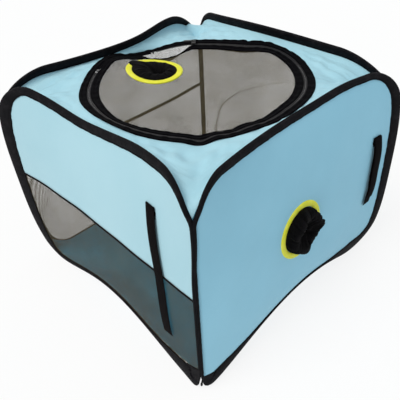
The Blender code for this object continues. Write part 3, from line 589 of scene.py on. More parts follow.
class Wall:
    """One wall: along it to the right as seen from outside, out of it, and up.

    left and right are its corners. sag is how far its top run hangs, lift and arch how far and how
    sharply its bottom run rises, and level the share of that rise towards its right. pull and low_pull
    draw the two runs in, swell is the bulge of its middle, and waves are bends of its top run: a rise, a
    place along it and a width, the last two as shares of half its length.
    corners are the turns of its hoop, from low right round to low left. tape is the depth of the binding
    at its left and right side, low_tape at the left, middle and right of its bottom, and top_tape along
    its top, with how puffed it is there. fill is how high the binding fills its two low corners.
    """

    low_pull = 0.0
    arch = 1.5
    waves = ()
    level = 1.0
    top_tape = (0.0165, 1.10)
    fill = (0.0, 0.0)

    def __init__(self, name, turns, left, right, **shape):
        self.name = name
        self.body = f"{name}_wall"
        self.turns = turns
        self.left = left
        self.right = right
        for key, value in shape.items():
            setattr(self, key, value)

    def turned(self, x, y, z):
        for _ in range(self.turns):
            x, y = -y, x
        return np.stack(np.broadcast_arrays(x, y, z), axis=-1)

    def blended(self, key, side):
        """A size of the two corners, changing evenly from the left one to the right one."""
        start, end = getattr(self.left, key), getattr(self.right, key)
        return start + (end - start) * (side + 1) / 2

    def nearer(self, key, along):
        """A size of the corner that is nearer."""
        return np.where(along < 0, getattr(self.left, key), getattr(self.right, key))

    def shape(self, along, height):
        """The bowed wall: where a point of the flat wall goes along it, out of it and up."""
        share = share_up(height)
        side = np.clip(along / HOOP_HALF, -1, 1)
        middle = 1 - side ** 2
        low, high, drawn = (self.blended(key, side) for key in ("bulge_low", "bulge_high", "drawn"))
        belly = 1 - np.abs(2 * share - 1) ** BELLY_POWER
        bulge = (low * (1 - share) + high * share) * belly
        taper = 1 + TAPER * (share - 0.5)
        sewn = (smooth_step((share - SEWN_FROM) / SEWN_LOW_FADE)
                * smooth_step((SEWN_TO - share) / SEWN_HIGH_FADE))
        draw = drawn * sewn * np.abs(side) ** DRAW_POWER
        leaning = smooth_step((LEAN_TO - share) / LEAN_FADE) * np.abs(side) ** LEAN_POWER
        lean = np.where(side < 0, -self.left.lean, self.right.lean) * leaning
        sideways = (along + side * bulge) * taper + np.sign(side) * draw - np.abs(lean)
        out = (WALL_PLANE + bulge * (1 - middle) + self.swell * middle * belly) * taper - draw + lean
        out = out - self.pull * middle * share ** 2 - self.low_pull * middle * (1 - share) ** 2
        arch = self.lift * middle ** self.arch * (1 - share) ** 2
        arch = arch * (self.level + (1 - self.level) * smooth_step((0.55 - side) / 0.7))
        up = height - self.sag * middle ** SAG_POWER * share ** 2 + arch
        for rise, centre, width in self.waves:
            up = up + rise * np.exp(-((side - centre) / width) ** 2) * middle ** 0.5 * share ** 2
        return sideways, out, up

    def bowed(self, along, out, height):
        """A point of the flat wall, after the hoop has bowed."""
        along, out, height = (np.asarray(value, float) for value in (along, out, height))
        sideways, face, up = self.shape(along, height)
        return self.turned(sideways, -(face + out), up)

    def flat(self, sideways, up):
        """The point of the flat wall that the bow brings to this place."""
        sideways, up = np.broadcast_arrays(np.asarray(sideways, float), np.asarray(up, float))
        along, height = sideways.copy(), up.copy()
        for _ in range(FLATTENING_ROUNDS):
            there, _, risen = self.shape(along, height)
            along = along + (sideways - there)
            height = height + (up - risen)
        return along, height

    def flat_height(self, along, up):
        """The height on the flat wall that the bow brings up to this one, at places along it."""
        height = np.full_like(along, up)
        for _ in range(FLATTENING_ROUNDS):
            _, _, risen = self.shape(along, height)
            height = height + (up - risen)
        return height

    def on_face(self, sideways, out, up):
        """A point at this true place along and up the bowed wall, and out from its face."""
        along, height = self.flat(sideways, up)
        return self.bowed(along, out, height)


def share_up(height):
    """How far up a hoop a height is: 0 at its bottom, 1 at its top."""
    return (height - HOOP_BOTTOM) / (HOOP_TOP - HOOP_BOTTOM)


# Each upright corner: how far it bulges low down and high up, how puffed its tape is, how far down the
# top's corner tip reaches, how far its two hoops are drawn together, and how far it leans sideways.
FRONT_LEFT = Corner(0.0185, 0.0265, 1.0, 0.0940)
FRONT_RIGHT = Corner(0.0040, 0.0040, 0.44, 0.0500, drawn=0.0036, lean=0.0034)
BACK_RIGHT = Corner(0.0275, 0.0205, 1.0, 0.1190)
BACK_LEFT = Corner(0.0100, 0.0210, 0.68, 0.1240, drawn=0.0024)
FRONT = Wall(
    "front", 0, FRONT_LEFT, FRONT_RIGHT, sag=0.0204, lift=0.0612, pull=0.0384, low_pull=0.0047,
    swell=0.0150, arch=2.3, waves=((-0.0085, -0.20, 0.28), (0.0080, 0.46, 0.24), (0.0100, 0.76, 0.26)),
    corners=(0.024, 0.0700, 0.084, 0.046), tape=(0.0310, 0.0024), low_tape=(0.0135, 0.0110, 0.0450),
    top_tape=(0.0125, 1.0), fill=(0.0, 0.078))
RIGHT = Wall(
    "right", 1, FRONT_RIGHT, BACK_RIGHT, sag=0.0047, lift=0.0775, pull=0.0326, low_pull=-0.0035,
    swell=0.0200, waves=((0.0060, 0.48, 0.25),), corners=(0.095, 0.080, 0.0660, 0.022),
    tape=(0.0024, 0.0230), low_tape=(0.0350, 0.0110, 0.0500), top_tape=(0.0090, 0.95), fill=(0.050, 0.0))
BACK = Wall(
    "back", 2, BACK_RIGHT, BACK_LEFT, sag=-0.0200, lift=0.0465, pull=0.0465, swell=0.0080,
    corners=(0.052, 0.060, 0.115, 0.095), tape=(0.0060, 0.0036), low_tape=(0.0135, 0.0135, 0.0135))
LEFT = Wall(
    "left", 3, BACK_LEFT, FRONT_LEFT, sag=0.0006, lift=0.0465, pull=0.0448, swell=0.0060, level=0.0,
    waves=((0.017, -0.55, 0.3),), corners=(0.050, 0.090, 0.120, 0.052), tape=(0.0036, 0.0060),
    low_tape=(0.0060, 0.0045, 0.0045))
WALLS = (FRONT, RIGHT, BACK, LEFT)

# A hoop's corners from low right round to low left: its side, whether it is at the top, and the angle
# in degrees where its turn starts.
HOOP_CORNERS = ((1, False, -90), (1, True, 0), (-1, True, 90), (-1, False, 180))

# The binding: the radius of its rim about the wire, and its lips in section, each place a share of its
# depth and a distance out of the wall. Puckers have a pitch and a size. A stitch is drawn through a few
# places along it, each a share of its length and 1 or -1 for the crown or the foot of its arch.
RIM_RADIUS = 0.0046
LIPS = ((0.26, 0.0044), (0.52, 0.0036), (0.72, 0.0024), (0.82, 0.0019), (0.93, 0.0023))
LIP_EDGE = (1.0, 0.0017)
PUCKERS = ((0.0193, 0.5), (0.0121, 0.3), (0.047, 0.6))
STITCH_LENGTH = 0.0036
THREAD_RADIUS = 0.00045
STITCH_DEPTH = 0.82
STITCH_REACH = 0.0019
STITCH_ARCH = 0.0004
STITCH_PLACES = ((-0.5, -1), (-0.3, 1), (0.3, 1), (0.5, -1))


def hoop_line(wall, count, inset=0.0):
    """The flat outline of a hoop from the middle of its bottom: places, ways inward and lengths so far."""
    half = HOOP_HALF - inset
    low = HOOP_BOTTOM + inset
    high = HOOP_TOP - inset
    line = [(0.0, low)]
    for radius, (side, top, start) in zip(wall.corners, HOOP_CORNERS):
        turn = max(radius - inset, LEAST_TURN)
        across = side * (half - turn)
        up = high - turn if top else low + turn
        for angle in np.radians(start + np.arange(41) * (90 / 40)):
            line.append((across + turn * math.cos(angle), up + turn * math.sin(angle)))
    line.append((0.0, low))
    places, wanted = spaced(np.array(line), count)
    ahead = np.roll(places, -1, axis=0) - np.roll(places, 1, axis=0)
    ahead /= np.linalg.norm(ahead, axis=1)[:, None]
    inward = np.stack([-ahead[:, 1], ahead[:, 0]], axis=1)
    return places, inward, wanted


def low_depth(wall, along):
    """How deep the tape is along the bottom of a hoop."""
    at_left, between, at_right = wall.low_tape
    side = along / HOOP_HALF
    return (between + (at_left - between) * smooth_step((-side - 0.35) / 0.5)
            + (at_right - between) * smooth_step((side - 0.35) / 0.5))


def tape_size(wall, line, inward):
    """How deep the tape reaches in from the wire, and how puffed it is, at each point of a hoop."""
    upright = inward[:, 0] ** 2
    side = np.where(line[:, 0] < 0, wall.tape[0], wall.tape[1])
    top_depth, top_rim = wall.top_tape
    level = np.where(inward[:, 1] < 0, top_depth, low_depth(wall, line[:, 0]))
    fill = np.where(line[:, 0] < 0, wall.fill[0], wall.fill[1])
    open_corner = 1 - smooth_step((fill - line[:, 1]) / (0.4 * fill + 1e-6))
    depth = level + (side - level) * upright * open_corner
    share = share_up(line[:, 1])
    sewn = smooth_step((share - SEWN_FROM + 0.06) / 0.10) * smooth_step((SEWN_TO - 0.08 - share) / 0.16)
    rim = top_rim + (wall.nearer("puff", line[:, 0]) - top_rim) * upright ** 2 * sewn
    return depth, np.where(share < SEWN_FROM, np.minimum(rim, 1.0), rim)


def binding_section():
    """The folded tape in section: how far in from the wire, and how far out of the wall.

    The rim goes round the wire in metres; the lips go in by shares of the tape's depth.
    """
    rim = [(RIM_RADIUS * math.cos(angle), RIM_RADIUS * math.sin(angle))
           for angle in np.radians(90 + 22.5 * np.arange(9))]
    under = [(inward, -out) for inward, out in LIPS + (LIP_EDGE,)]
    return np.array(rim + under + [LIP_EDGE, *LIPS[::-1]])


def make_binding(wall):
    """The black tape folded round a hoop, puckered by its own stitching."""
    line, inward, travelled = hoop_line(wall, 320)
    depth, rim = tape_size(wall, line, inward)
    section = binding_section()
    seed = 1.7 * wall.turns
    pucker = sum(np.sin(travelled * 2 * math.pi / pitch + order * seed) * size
                 for order, (pitch, size) in enumerate(PUCKERS, 1))
    lip = section[:, 0] > 0
    deep = section[:, 0] * np.where(lip, (depth * (1 + 0.03 * pucker))[:, None], rim[:, None])
    puff = 1 + 0.10 * pucker[:, None] * np.clip(deep / 0.006, 0, 1)
    out = section[:, 1] * rim[:, None] * puff
    along = line[:, None, 0] + inward[:, None, 0] * deep
    height = line[:, None, 1] + inward[:, None, 1] * deep
    form = hull(wall.bowed(along, out, height), closed=True)
    piece(f"binding_{wall.name}", form, wall.body, BINDING, [f"edge_binding_{wall.name}"])


def make_stitches(wall):
    """Two rows of stitches through the lips of the binding."""
    line, inward, _ = hoop_line(wall, 370)
    depth, rim = tape_size(wall, line, inward)
    forms = []
    for side in (1, -1):
        blocks = []
        for share, arch in STITCH_PLACES:
            step = share * STITCH_LENGTH
            along = line[:, 0] + inward[:, 0] * depth * STITCH_DEPTH + inward[:, 1] * step
            height = line[:, 1] + inward[:, 1] * depth * STITCH_DEPTH - inward[:, 0] * step
            ring = []
            for across, up in ((-THREAD_RADIUS, 0.0), (0.0, THREAD_RADIUS * 1.3), (THREAD_RADIUS, 0.0)):
                out = side * (STITCH_REACH * rim + arch * STITCH_ARCH + up)
                ring.append(wall.bowed(along + inward[:, 0] * across, out, height + inward[:, 1] * across))
            blocks.append(np.stack(ring, axis=1))
        forms += [net(block) for block in np.stack(blocks, axis=1)]
    piece(f"binding_stitches_{wall.name}", gather(forms), wall.body, STITCHING)


def make_wire(wall):
    """The spring wire inside the binding, and the ferrule that joins its ends."""
    line, _, _ = hoop_line(wall, 240)
    line = np.roll(line, 119, axis=0)[:-1]
    path = wall.bowed(line[:, 0], 0.0, line[:, 1])
    along = np.linspace(-FERRULE_LENGTH / 2, FERRULE_LENGTH / 2, 25)
    share = np.abs(along) / (FERRULE_LENGTH / 2)
    crimp = 1 - 0.10 * (np.sin(share * math.pi * 2.5) > 0.3) - 0.25 * (share > 0.97)
    join = wall.bowed(along, 0.0, np.full_like(along, HOOP_TOP))
    forms = {"wire": tube(path, WIRE_RADIUS, 8), "ferrule": tube(join, FERRULE_RADIUS * crimp, 14)}
    for part, form in forms.items():
        piece(f"{part}_{wall.name}", form, wall.body, STEEL, [f"hoop_{part}_{wall.name}"])


def edges_at(wall, along, inset):
    """The lowest and highest point of a panel at a place along it."""
    half = HOOP_HALF - inset
    low_right, top_right, top_left, low_left = wall.corners
    low_turn = np.maximum(np.where(along < 0, low_left, low_right) - inset, LEAST_TURN)
    top_turn = np.maximum(np.where(along < 0, top_left, top_right) - inset, LEAST_TURN)
    past_low = np.clip(np.abs(along) - (half - low_turn), 0, low_turn)
    past_top = np.clip(np.abs(along) - (half - top_turn), 0, top_turn)
    low = HOOP_BOTTOM + inset + low_turn - np.sqrt(low_turn ** 2 - past_low ** 2)
    high = HOOP_TOP - inset - top_turn + np.sqrt(top_turn ** 2 - past_top ** 2)
    return low, high


def slack(wall, along, height, size):
    """Shallow undulations of cloth that is nearly taut; none at its sewn edges."""
    share = share_up(height)
    fade = np.clip(1 - (along / HOOP_HALF) ** 4, 0, 1) * np.clip(4 * share * (1 - share), 0, 1)
    seed = wall.turns * 1.3
    waves = np.sin(along * 19 + share * 3.1 + seed) * np.sin(share * 5.2 + seed * 2)
    waves = waves + 0.5 * np.sin(along * 47 - share * 9 + seed * 3)
    waves = waves + 0.35 * np.sin((along * 31 + share * 21) + seed)
    return size * fade * waves


def panel_columns():
    """Places along a wall panel, closer together towards its ends."""
    return (HOOP_HALF - BINDING_TUCK) * np.sin(np.linspace(-1, 1, WALL_COLUMNS) * (math.pi / 2))


def wall_cloth(wall, low, high, rows):
    """A grid of points over a wall between two lines; each line is a height, or None for the hoop."""
    along = panel_columns()
    bottom, top = edges_at(wall, along, BINDING_TUCK)
    if low is not None:
        bottom = wall.flat_height(along, low)
    if high is not None:
        top = wall.flat_height(along, high)
    share = np.linspace(0, 1, rows)[:, None]
    height = bottom * (1 - share) + top * share
    along = np.broadcast_to(along, height.shape)
    return wall.bowed(along, slack(wall, along, height, WALL_SLACK), height)


def make_panel(name, wall, finish, low, high, rows, stands_for, thickness=0.0):
    """A cloth or mesh panel of a wall, sewn to its binding."""
    form = net(wall_cloth(wall, low, high, rows))
    made = piece(name, form, wall.body, finish, [stands_for], thickness)


def make_cross_tape(name, wall, width, lift, stands_for, thickness):
    """A flat tape that runs right across a wall at the seam's height."""
    low, high = SEAM_HEIGHT - width / 2, SEAM_HEIGHT + width / 2
    edge, edge_lift = 0.0008, lift * 0.4
    along = panel_columns()
    rows = []
    for up, out in ((low, edge_lift), (low + edge, lift), (high - edge, lift), (high, edge_lift)):
        height = wall.flat_height(along, up)
        rows.append(wall.bowed(along, out + slack(wall, along, height, WALL_SLACK), height))
    piece(name, net(np.stack(rows)), wall.body, BINDING, [stands_for], thickness)


def make_wall_panels():
    """The front wall's cloth and mesh window, the back wall's mesh, and the left wall's two meshes."""
    half_gap = LEFT_BAND_WIDTH / 2 - 0.003
    make_panel("front_panel_cloth", FRONT, BLUE_UPRIGHT, SEAM_HEIGHT, None, 26,
               "front_upper_panel", FRONT_CLOTH_THICKNESS)
    make_panel("front_window_mesh", FRONT, MESH_UPRIGHT, None, SEAM_HEIGHT, 26, "front_mesh_window")
    make_cross_tape("front_seam_cover", FRONT, FRONT_SEAM_WIDTH, 0.0010, "front_seam_tape", 0.0006)
    make_panel("back_wall_mesh", BACK, MESH_UPRIGHT, None, None, 44, "back_mesh_panel")
    make_panel("left_mesh_above", LEFT, MESH_UPRIGHT, SEAM_HEIGHT + half_gap, None, 24, "left_upper_mesh")
    make_panel("left_mesh_below", LEFT, MESH_UPRIGHT, None, SEAM_HEIGHT - half_gap, 24, "left_lower_mesh")
    make_cross_tape("left_band_webbing", LEFT, LEFT_BAND_WIDTH, 0.0008, "left_cross_band", 0.0012)


def ring_loft(inner, outer, rings):
    """Rings of points between an inner and an outer ring."""
    share = np.linspace(0, 1, rings)[:, None, None]
    return inner * (1 - share) + outer * share


def make_right_panel():
    """The right wall's cloth, from its round hole out to the hoop."""
    columns, rings = 160, 26
    line, _, _ = hoop_line(RIGHT, columns, BINDING_TUCK)
    centre = np.array(RIGHT.flat(DRYER_PORT[0], DRYER_PORT[1])).ravel()
    angle = np.arctan2(line[:, 1] - centre[1], line[:, 0] - centre[0])
    hole = RIGHT.flat(DRYER_PORT[0] + PORT_HOLE * np.cos(angle), DRYER_PORT[1] + PORT_HOLE * np.sin(angle))
    flat = ring_loft(np.stack(hole, axis=1), line, rings)
    along, height = flat[..., 0], flat[..., 1]
    calm = smooth_step((np.linspace(0, 1, rings) - 0.05) / 0.25)[:, None]
    points = RIGHT.bowed(along, slack(RIGHT, along, height, SIDE_SLACK) * calm, height)
    made = piece("right_panel_cloth", net(points, close_columns=True), "right_wall", BLUE_SHADED_SIDE,
                 ["right_panel"], CLOTH_THICKNESS)


# Ports

# A port's ring: how puffed its tape is, and how many columns of points it has.
RING_PUFF = 0.0023
RING_COLUMNS = 144

# The sleeve: its radius at the ring, how much it loses down its length and at its hem, how far it stands
# out and falls back, how uneven its hem is, and how deep its folds are. Folds have a size, a number of
# crests and a start.
SLEEVE_RADIUS = 0.0490
SLEEVE_TAPER = 0.0050
SLEEVE_CLOSING = 0.0360
SLEEVE_REACH = 0.0215
SLEEVE_FALL = 0.0130
SLEEVE_UNEVEN = 0.0045
SLEEVE_FOLD = 0.0030
SLEEVE_FOLDS = ((0.7, 3, 0.4), (1.0, 7, 1.0), (0.7, 11, 2.0), (0.4, 23, 0.0), (0.3, 37, 1.0))

# The cuff in the lid: its radius at the ring and at its hem, the flap that overlaps the ring, with its
# direction and half width in degrees, how it rises and dips, and how far its opening has moved.
CUFF_RADIUS = 0.0505
CUFF_OPENING = 0.010
CUFF_FLAP = 0.0125
FLAP_MIDDLE = 198
FLAP_HALF = 15
FLAP_RISE = 0.0042
CUFF_RISE = 0.0065
CUFF_DIP = 0.016
CUFF_FOLD = 0.0011
CUFF_SHIFT = (0.010, 0.004, 0.0)
CUFF_FOLDS = ((1.0, 10, 0.0), (0.5, 23, 1.0), (0.3, 37, 2.0))

# The lid's port: how far it hangs below the zip, how it leans along x and along y, and how it curls.
LID_PORT_DROP = 0.0050
LID_PORT_LEAN = (-0.0776, -0.0739)
LID_PORT_CURL = 0.0027


def ring_band(place, seed):
    """A soft tape folded over the edge of a round hole; place(radius, angle, out) puts its points."""
    middle = (PORT_OUTER + PORT_INNER) / 2
    half = (PORT_OUTER - PORT_INNER) / 2
    angle = full_turn(RING_COLUMNS)
    turn = full_turn(16)
    reach = fuller(np.cos(turn), 0.6) * half
    swell = fuller(np.sin(turn), 0.75) * RING_PUFF
    pucker = 1 + 0.05 * np.sin(angle * 31 + seed) + 0.04 * np.sin(angle * 17 + 2 * seed)
    radius = middle + reach * (0.97 + 0.03 * pucker[:, None])
    out = swell * pucker[:, None]
    return hull(place(radius, angle[:, None], out), closed=True)


def on_right_wall(radius, angle, out):
    return RIGHT.on_face(DRYER_PORT[0] + radius * np.cos(angle), out, DRYER_PORT[1] + radius * np.sin(angle))


def make_hem(name, edge, past, body, stands_for):
    """The elastic cord in the hem of a gathered cloth, just past its edge."""
    cord = tube(edge + np.array(past), HEM_RADIUS, 8, closed=True)
    piece(f"{name}_hem_elastic", cord, body, ELASTIC, [stands_for])


def make_dryer_port():
    """The yellow ring on the right wall, with the black sleeve that hangs out of it."""
    piece("dryer_port_tape", ring_band(on_right_wall, 0.4), "right_wall", YELLOW, ["dryer_port_ring"])
    angle = full_turn(180)
    rows = []
    lumps = folds_round(angle, *SLEEVE_FOLDS)
    for share in np.linspace(0, 1, 34):
        fullness = math.sin(math.pi * min(1.0, share * 0.9)) ** 0.8
        radius = SLEEVE_RADIUS - SLEEVE_TAPER * share - SLEEVE_CLOSING * share ** 4
        drawn_up = 1 - 0.40 * share * np.clip(-np.sin(angle - 0.25), 0, 1) ** 1.5
        reach = radius * drawn_up + SLEEVE_FOLD * fullness * np.roll(lumps, round(9 * share))
        crest = SLEEVE_REACH * math.sin(math.pi / 2 * min(1.0, share * 1.35)) ** 0.9
        out = crest - SLEEVE_FALL * smooth_step((share - 0.72) / 0.28)
        out = out + SLEEVE_UNEVEN * share * np.cos(3 * angle - 0.6)
        across = DRYER_PORT[0] + reach * np.cos(angle) + 0.004 * fullness * share
        up = DRYER_PORT[1] + reach * np.sin(angle) - 0.001 * share
        rows.append(RIGHT.on_face(across, out, up))
    points = np.stack(rows)
    made = piece("dryer_sleeve_cloth", net(points, close_columns=True), "right_wall", GATHERED,
                 ["dryer_sleeve"], GATHERED_THICKNESS)
    make_hem("dryer_sleeve", points[-1], (-HEM_PAST, 0.0, 0.0), "right_wall", "dryer_sleeve_elastic")


# Round zip and lid

# How far the lid's edge has dropped where the slider has opened the zip: its range past the slider in
# degrees, how far it moves in, and how far its tape's inner edge falls and its coil falls below that.
OPEN_RANGE = (1, 36)
OPEN_SHIFT = 0.010
OPEN_FALL = 0.010
OPEN_TILT = 0.014

# A puffed tape in section: places across it and how thick it is there, of its full puff.
TAPE_ACROSS = (0.0, 0.03, 0.14, 0.30, 0.42, 0.5, 0.58, 0.72, 0.86, 0.97, 1.0)
TAPE_PUFF = (0.15, 0.55, 1.0, 0.95, 0.6, 0.42, 0.6, 0.95, 1.0, 0.55, 0.15)

# The hinge strip's two edges, the swell of one bead of a coil, and a stop's squeeze from end to end, its
# half height and how many degrees past the coil's end it sits.
STRIP_INNER = TAPE_LID_OUTER + 0.0006
STRIP_OUTER = TAPE_OUTER_INNER - 0.0004
COIL_BEAD = (0.75, 1.0, 0.75, 0.55)
COIL_HALF_WIDTH = 0.00196
COIL_HALF_HEIGHT = 0.0012
STOP_SQUEEZE = (0.7, 0.95, 1.0, 1.0, 1.0, 0.95, 0.7)
STOP_HALF_HEIGHT = 0.0016
STOP_OFFSET = 2.0


def ripple(azimuth, column):
    """How far the round zip stands above its flat height, in metres, from the list of its ripples."""
    marks = np.array([row[0] for row in ZIP_RIPPLES], float)
    rises = np.array([row[column] for row in ZIP_RIPPLES], float) / 1000
    marks = np.concatenate([marks - 360, marks, marks + 360])
    rises = np.tile(rises, 3)
    turn = (np.asarray(azimuth, float) + 180) % 360 - 180
    after = np.clip(np.searchsorted(marks, turn, side="right"), 2, len(marks) - 2)
    before = after - 1
    gap = marks[after] - marks[before]
    share = (turn - marks[before]) / gap
    slope_before = (rises[after] - rises[before - 1]) / (marks[after] - marks[before - 1]) * gap
    slope_after = (rises[after + 1] - rises[before]) / (marks[after + 1] - marks[before]) * gap
    square, cube = share ** 2, share ** 3
    return ((2 * cube - 3 * square + 1) * rises[before] + (cube - 2 * square + share) * slope_before
            + (3 * square - 2 * cube) * rises[after] + (cube - square) * slope_after)


def zip_place(radius, azimuth, lift):
    """A point of the rippled round zip at rest."""
    radius, azimuth = np.broadcast_arrays(np.asarray(radius, float), np.asarray(azimuth, float))
    across = (radius - TAPE_LID_EDGE) / (TAPE_OUTER_EDGE - TAPE_LID_EDGE)
    rise = ripple(azimuth, 1) * across + ripple(azimuth, 2) * (1 - across)
    angle = np.radians(azimuth)
    return np.stack([radius * np.cos(angle), radius * np.sin(angle), ZIP_HEIGHT + rise + lift], axis=-1)


def lid_place(radius, azimuth, lift=0.0):
    """A point of the lid's edge: it has dropped away from the zip where the slider has opened it."""
    radius, azimuth = np.broadcast_arrays(np.asarray(radius, float), np.asarray(azimuth, float))
    opens, shuts = (SLIDER_AZIMUTH + past for past in OPEN_RANGE)
    open_share = bump_between(azimuth % 360, opens, shuts) ** 0.6
    across = (radius - TAPE_LID_EDGE) / (COIL_LID_LINE - TAPE_LID_EDGE)
    shift = -OPEN_SHIFT * open_share * np.clip(0.4 + across, 0, 1.4)
    fall = -open_share * (OPEN_FALL + OPEN_TILT * np.clip(across, 0, 1.2))
    angle = np.radians(azimuth)
    moved = np.stack([shift * np.cos(angle), shift * np.sin(angle), 0 * azimuth], axis=-1)
    return zip_place(radius, azimuth, lift + fall) + moved


def tape_ring(place, inner, outer, azimuths, closed, puff, seed):
    """A puffed-up tape ring: sewn down at both its edges and along its middle."""
    swell = np.array(TAPE_PUFF) * puff
    radius = inner + np.array(TAPE_ACROSS) * (outer - inner)
    angle = np.radians(azimuths)
    wrinkle = 1 + 0.25 * np.sin(angle * 61 + seed) + 0.2 * np.sin(angle * 37 + 2 * seed)
    top = place(radius, azimuths[:, None], swell * wrinkle[:, None])
    under = place(radius[::-1], azimuths[:, None], -0.5 * swell[::-1] * wrinkle[:, None])
    return hull(np.concatenate([top, under[:, 1:-1]], axis=1), closed)


def coil_row(place, radius):
    """A row of zip coil: one bead to each turn of the coil."""
    azimuths = np.linspace(ZIP_START, ZIP_END, 900)
    swell = np.resize(COIL_BEAD, 900)[:, None]
    turn = full_turn(8)
    reach = np.cos(turn) * COIL_HALF_WIDTH * (0.85 + 0.15 * swell)
    return capped(place(radius + reach, azimuths[:, None], np.sin(turn) * COIL_HALF_HEIGHT * swell))


def zip_stop(azimuth):
    """A squared metal clip across both coils."""
    inner, outer = COIL_LID_LINE - 0.002, COIL_OUTER_LINE + 0.0012
    turn = full_turn(12)
    squeeze = np.array(STOP_SQUEEZE)[:, None]
    radius = (inner + outer) / 2 + (outer - inner) / 2 * fuller(np.cos(turn), 0.5) * squeeze
    lift = STOP_HALF_HEIGHT * fuller(np.sin(turn), 0.5) * squeeze
    return capped(zip_place(radius, azimuth + np.linspace(-0.5, 0.5, 7)[:, None], lift))


def make_zip():
    """The outer tape and coil of the round zip, the lid's tape and coil, their stops and the hinge."""
    whole = np.arange(360) * 1.0
    hinge = np.linspace(HINGE_AZIMUTH - HINGE_HALF_ANGLE, HINGE_AZIMUTH + HINGE_HALF_ANGLE, 45)
    outer_tape = tape_ring(zip_place, TAPE_OUTER_INNER, TAPE_OUTER_EDGE, whole, True, 0.0024, 0.3)
    lid_tape = tape_ring(lid_place, TAPE_LID_EDGE, TAPE_LID_OUTER, whole, True, 0.0022, 1.1)
    strip = tape_ring(zip_place, STRIP_INNER, STRIP_OUTER, hinge, False, 0.0011, 2.0)
    outer_coil, lid_coil = coil_row(zip_place, COIL_OUTER_LINE), coil_row(lid_place, COIL_LID_LINE)
    piece("zip_tape_outside", outer_tape, "back_wall", ZIP_TAPE, ["zip_tape_outer"])
    piece("zip_coil_outside", outer_coil, "back_wall", COIL, ["zip_coil_outer"])
    piece("lid_tape", lid_tape, "lid", ZIP_TAPE, ["zip_tape_lid"])
    piece("lid_coil", lid_coil, "lid", COIL, ["zip_coil_lid"])
    piece("lid_hinge_strip", strip, "back_wall", ZIP_TAPE, ["lid_hinge_tab"])
    piece("zip_stop_at_start", zip_stop(ZIP_START - STOP_OFFSET), "back_wall", METAL, ["zip_stop_start"])
    piece("zip_stop_at_end", zip_stop(ZIP_END + STOP_OFFSET), "back_wall", METAL, ["zip_stop_end"])


def relaxed(points, rounds):
    """Lets the heights of a closed ring grid settle as stretched cloth does; the end rows stay."""
    height = points[..., 2].copy()
    for _ in range(rounds):
        around = (np.roll(height, 1, axis=1) + np.roll(height, -1, axis=1)) / 2
        up_down = (height[:-2] + height[2:]) / 2
        height[1:-1] = 0.5 * around[1:-1] + 0.5 * up_down
    points = points.copy()
    points[..., 2] = height
    return points


def make_lid_mesh():
    """The lid's mesh, from its round hand port out to the zip's tape."""
    columns, rings = 180, 30
    centre = np.array(LID_PORT)
    azimuth = np.arange(720) * 0.5
    edge = lid_place(np.full(720, TAPE_LID_EDGE + 0.004), azimuth)
    seen = np.unwrap(np.arctan2(edge[:, 1] - centre[1], edge[:, 0] - centre[0]))
    angle = seen[0] + full_turn(columns)
    outer = np.stack([np.interp(angle, seen, places, period=2 * math.pi) for places in edge.T], axis=1)
    points = relaxed(ring_loft(lid_port_place(PORT_HOLE, angle, 0.0), outer, rings), 400)
    across, along = points[..., 0] - centre[0], points[..., 1] - centre[1]
    fade = np.sin(math.pi * np.linspace(0, 1, rings)[:, None]) ** 0.8
    bearing = np.degrees(np.arctan2(along, across))
    turn = np.radians(bearing)
    tension = np.sin(turn * 26 + np.hypot(across, along) * 20) * np.exp(-((bearing + 140) / 60) ** 2)
    tension = tension + np.sin(turn * 18) * 0.7 * np.exp(-((bearing + 10) / 45) ** 2)
    points[..., 2] += fade * (0.0016 * tension - 0.006)
    made = piece("lid_mesh_cloth", net(points, close_columns=True), "lid", MESH_LAID, ["lid_mesh"])


def lid_port_place(radius, angle, out):
    """A point of the lid's port: its plane leans a little, as the mesh under it sags."""
    radius, angle, out = np.broadcast_arrays(*(np.asarray(value, float) for value in (radius, angle, out)))
    x, y = radius * np.cos(angle), radius * np.sin(angle)
    lean = LID_PORT_LEAN[0] * x + LID_PORT_LEAN[1] * y
    curl = LID_PORT_CURL * np.sin(2 * angle) * (radius / PORT_OUTER)
    up = ZIP_HEIGHT - LID_PORT_DROP + lean + curl + out
    return np.stack([LID_PORT[0] + x, LID_PORT[1] + y, up], axis=-1)


def make_lid_port():
    """The yellow ring in the lid, and the gathered black cuff that nearly closes it."""
    piece("lid_port_tape", ring_band(lid_port_place, 1.9), "lid", YELLOW, ["lid_port_ring"])
    angle = full_turn(160)
    rows = []
    flap = np.exp(-((np.degrees(angle) - FLAP_MIDDLE) / FLAP_HALF) ** 4)
    folds = folds_round(angle, *CUFF_FOLDS)
    start = CUFF_RADIUS + CUFF_FLAP * flap
    for share in np.linspace(0, 1, 18):
        radius = start + (CUFF_OPENING - start) * share ** 0.9
        crown = math.sin(math.pi * share)
        rise = CUFF_RISE * crown ** 0.7 - CUFF_DIP * share ** 4
        rise = rise + CUFF_FOLD * folds * crown + FLAP_RISE * flap * (1 - share) ** 2
        row = lid_port_place(radius + 0.0008 * share * folds, angle, rise)
        rows.append(row + np.array(CUFF_SHIFT) * share)
    points = np.stack(rows)
    made = piece("lid_cuff_cloth", net(points, close_columns=True), "lid", GATHERED, ["lid_port_cuff"],
                 GATHERED_THICKNESS)
    make_hem("lid_cuff", points[-1], (0.0, 0.0, -HEM_PAST), "lid", "lid_port_elastic")


